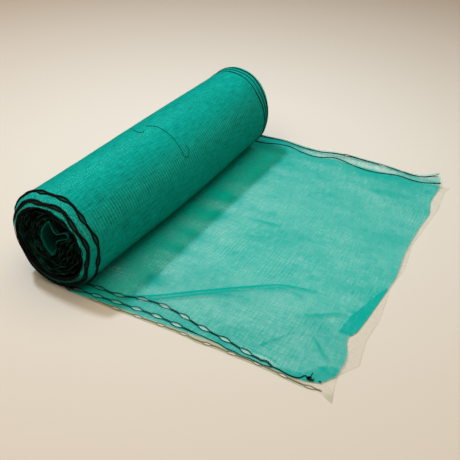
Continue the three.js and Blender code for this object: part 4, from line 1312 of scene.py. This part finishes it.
def far_row_inset(angle, inset):
    """How far a row lies from the far end: the rows close up towards it low on the front."""
    return inset * (0.16 + 0.84 * smooth_step(angle, radians(-50), radians(55)))


roll_near_inner = yarn_on_roll(
    "yarn_roll_near_inner", lambda angle: ROLL_NEAR + INNER_ROW + row_wave(angle),
    near_row_eyelets(EYELET_WIDTH, ROLL_YARN), lambda thin: 2.0 * MM, 1.5 * MM, 0.8 * MM, 41, ROLL_YARN)
roll_near_outer = yarn_on_roll(
    "yarn_roll_near_outer", lambda angle: ROLL_NEAR + RIM_ROW + row_wave(angle),
    near_row_eyelets(RIM_EYELET_WIDTH, RIM_YARN), lambda thin: 2.7 * MM * thin, 1.2 * MM, 0.9 * MM, 42, RIM_YARN,
    RIM_TO, thin_behind_rim)
roll_far_rows = {name: yarn_on_roll(
    f"yarn_roll_far_{name}", lambda angle: far_end(angle) - far_row_inset(angle, inset) + 0.6 * row_wave(angle), [],
    lambda thin: 1.2 * radius, radius, 0.9 * MM, 43, radius, thinning=thin_at_far_end)
    for name, (inset, radius) in FAR_ROWS.items()}
print("yarn round the roll", len(roll_near_inner.data.polygons), "faces in the near inner row")

# %% [markdown]
# ## Yarn crushed in the turns
# The inner turns have eyelet rows of their own, and their yarn is squeezed into loops between the turns. Strands
# that stray about the edge of the wound ribbon stand for it.

# %% Yarn crushed in the turns
CRUSHED_RADIUS = 1.5 * MM
LOW_FROM, LOW_TO = radians(-150), radians(-48)


def crushed_yarn(name, edge, inward, seed):
    along = lengths_along(edge)
    return tubes(name, [edge + points_from(
        3.5 * MM * uneven_along(along, 42, seed + 5 * k),
        inward * ((3 + 5 * k) * MM + 4 * MM * uneven_along(along, 50, seed + 5 * k + 1)),
        3.5 * MM * uneven_along(along, 45, seed + 5 * k + 2),
    ) for k in range(3)], CRUSHED_RADIUS)


def rim_edge(name, seed):
    """Crushed yarn of the second turn, just inside the near rim, and more of it low down, standing in for shade there
    too.
    """
    angle, low = np.linspace(0, 2 * pi, 420), np.linspace(LOW_FROM, LOW_TO, 150)
    circle, arc = (points_from(3 * np.cos(a), 3 * np.sin(a), 0.0) for a in (angle, low))
    lines = []
    for k in range(3):
        wander = 1.2 * MM * soft_noise(circle, 2.3, seed + 3 * k)
        y = ROLL_NEAR + ((0.5 + 2.5 * k) * MM + 2 * MM * soft_noise(circle, 1.7, seed + 3 * k + 1))
        lines.append(round_roll(roll_radius(angle, ROLL_NEAR) - (1.0 + 2.2 * k) * MM + wander, angle, y))
    for k in range(4):
        y = ROLL_NEAR + ((6 + 3.5 * k) * MM + 2 * MM * soft_noise(arc, 2.9, seed + 20 + k))
        lines.append(on_roll(low, y, -0.5 * MM) + np.array([0, 0, 0.2 * MM]))
    return tubes(name, lines, CRUSHED_RADIUS)


near_rim_edge = rim_edge("rim_yarn_near", 91)
near_crush = crushed_yarn("crushed_yarn_near", near_turns_edge[40:-20], 1, 51)
far_crush = crushed_yarn("crushed_yarn_far", far_turns_edge[40:-20], -1, 71)
print("crushed yarn", len(near_crush.data.polygons), "faces at each end")

# %% [markdown]
# ## The knot
# At the near corner of the cut end the yarn is tied off: a small overhand knot with one short tail standing up and
# one lying along the edge. A few points through a smooth line give the loops.

# %% The knot
KNOT_X, KNOT_Y = 675 * MM, -490 * MM
KNOT_RADIUS = 1.2 * MM
# places from the knot's middle, in millimetres: the loop, then the tails
KNOT_PATHS = [
    [(-6, 3, 0), (-4, 3, 1), (2, 2.5, 3), (4, -1, 4), (0, -3.5, 3), (-4, -1, 2), (-2, 3, 4), (3, 3, 5),
     (4, 0, 2.5), (1, -2, 1.5), (-3, -3, 3), (-5, 0, 4), (0, 1.5, 5.5)],
    [(2, 1, 4), (2.5, 4, 7), (3, 7, 10), (4.5, 10, 12)],
    [(3, -1, 3), (6, -2, 3.5), (9, 0, 2), (8, 3, 2)],
    [(21, 3, 1.5), (23.5, 3.8, 2), (24.5, 3, 2.4), (22.5, 2.5, 2.6), (23.5, 3.6, 2.8)],
]

knot_base = sheet_height(np.array([KNOT_X]), np.array([KNOT_Y]))[0]
knot_origin = np.array([KNOT_X, KNOT_Y, knot_base])
knot = tubes("yarn_knot", [knot_origin + line_through(np.array(path) * MM, 6) for path in KNOT_PATHS], KNOT_RADIUS)
print("knot", len(knot.data.polygons), "faces")

# %% [markdown]
# ## Dressing the frame
# Each piece now takes the place of its solids and rides on the part's one body.

# %% Dress the frame
# a piece, its slot, the solids it replaces
dressing = [
    (roll_skin, "net_roll", "roll"),
    (near_turns, "net_roll"), (far_turns, "net_roll"),
    (near_crush, "black_yarn"), (near_rim_edge, "black_yarn"), (far_crush, "black_yarn"),
    (near_pocket, "net_roll"), (far_pocket, "net_roll"),
    (loose_sheet, "net_sheet", "loose_panel", "band_near", "band_far"), (wedge, "net_sheet"),
    (clear_sheet, "clear_net", "under_ply", "under_band"), (under_yarn, "clear_net"),
    (row_near_inner, "black_yarn", "eyelet_row_near_inner"),
    (row_near_outer, "black_yarn", "eyelet_row_near_outer"),
    (row_far_inner, "black_yarn", "eyelet_row_far_inner"),
    (row_far_outer, "black_yarn", "eyelet_row_far_outer"),
    (roll_near_inner, "black_yarn", "roll_row_near_inner"),
    (roll_near_outer, "black_yarn", "roll_row_near_outer"),
    (roll_far_rows["inner"], "black_yarn", "roll_row_far_inner"),
    (roll_far_rows["middle"], "black_yarn"),
    (roll_far_rows["outer"], "black_yarn", "roll_row_far_outer"),
    (knot, "black_yarn"),
]
for piece, slot, *nodes in dressing:
    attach(piece, "root")
    if nodes:
        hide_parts(*nodes)
print(len(dressing), "pieces dressed")
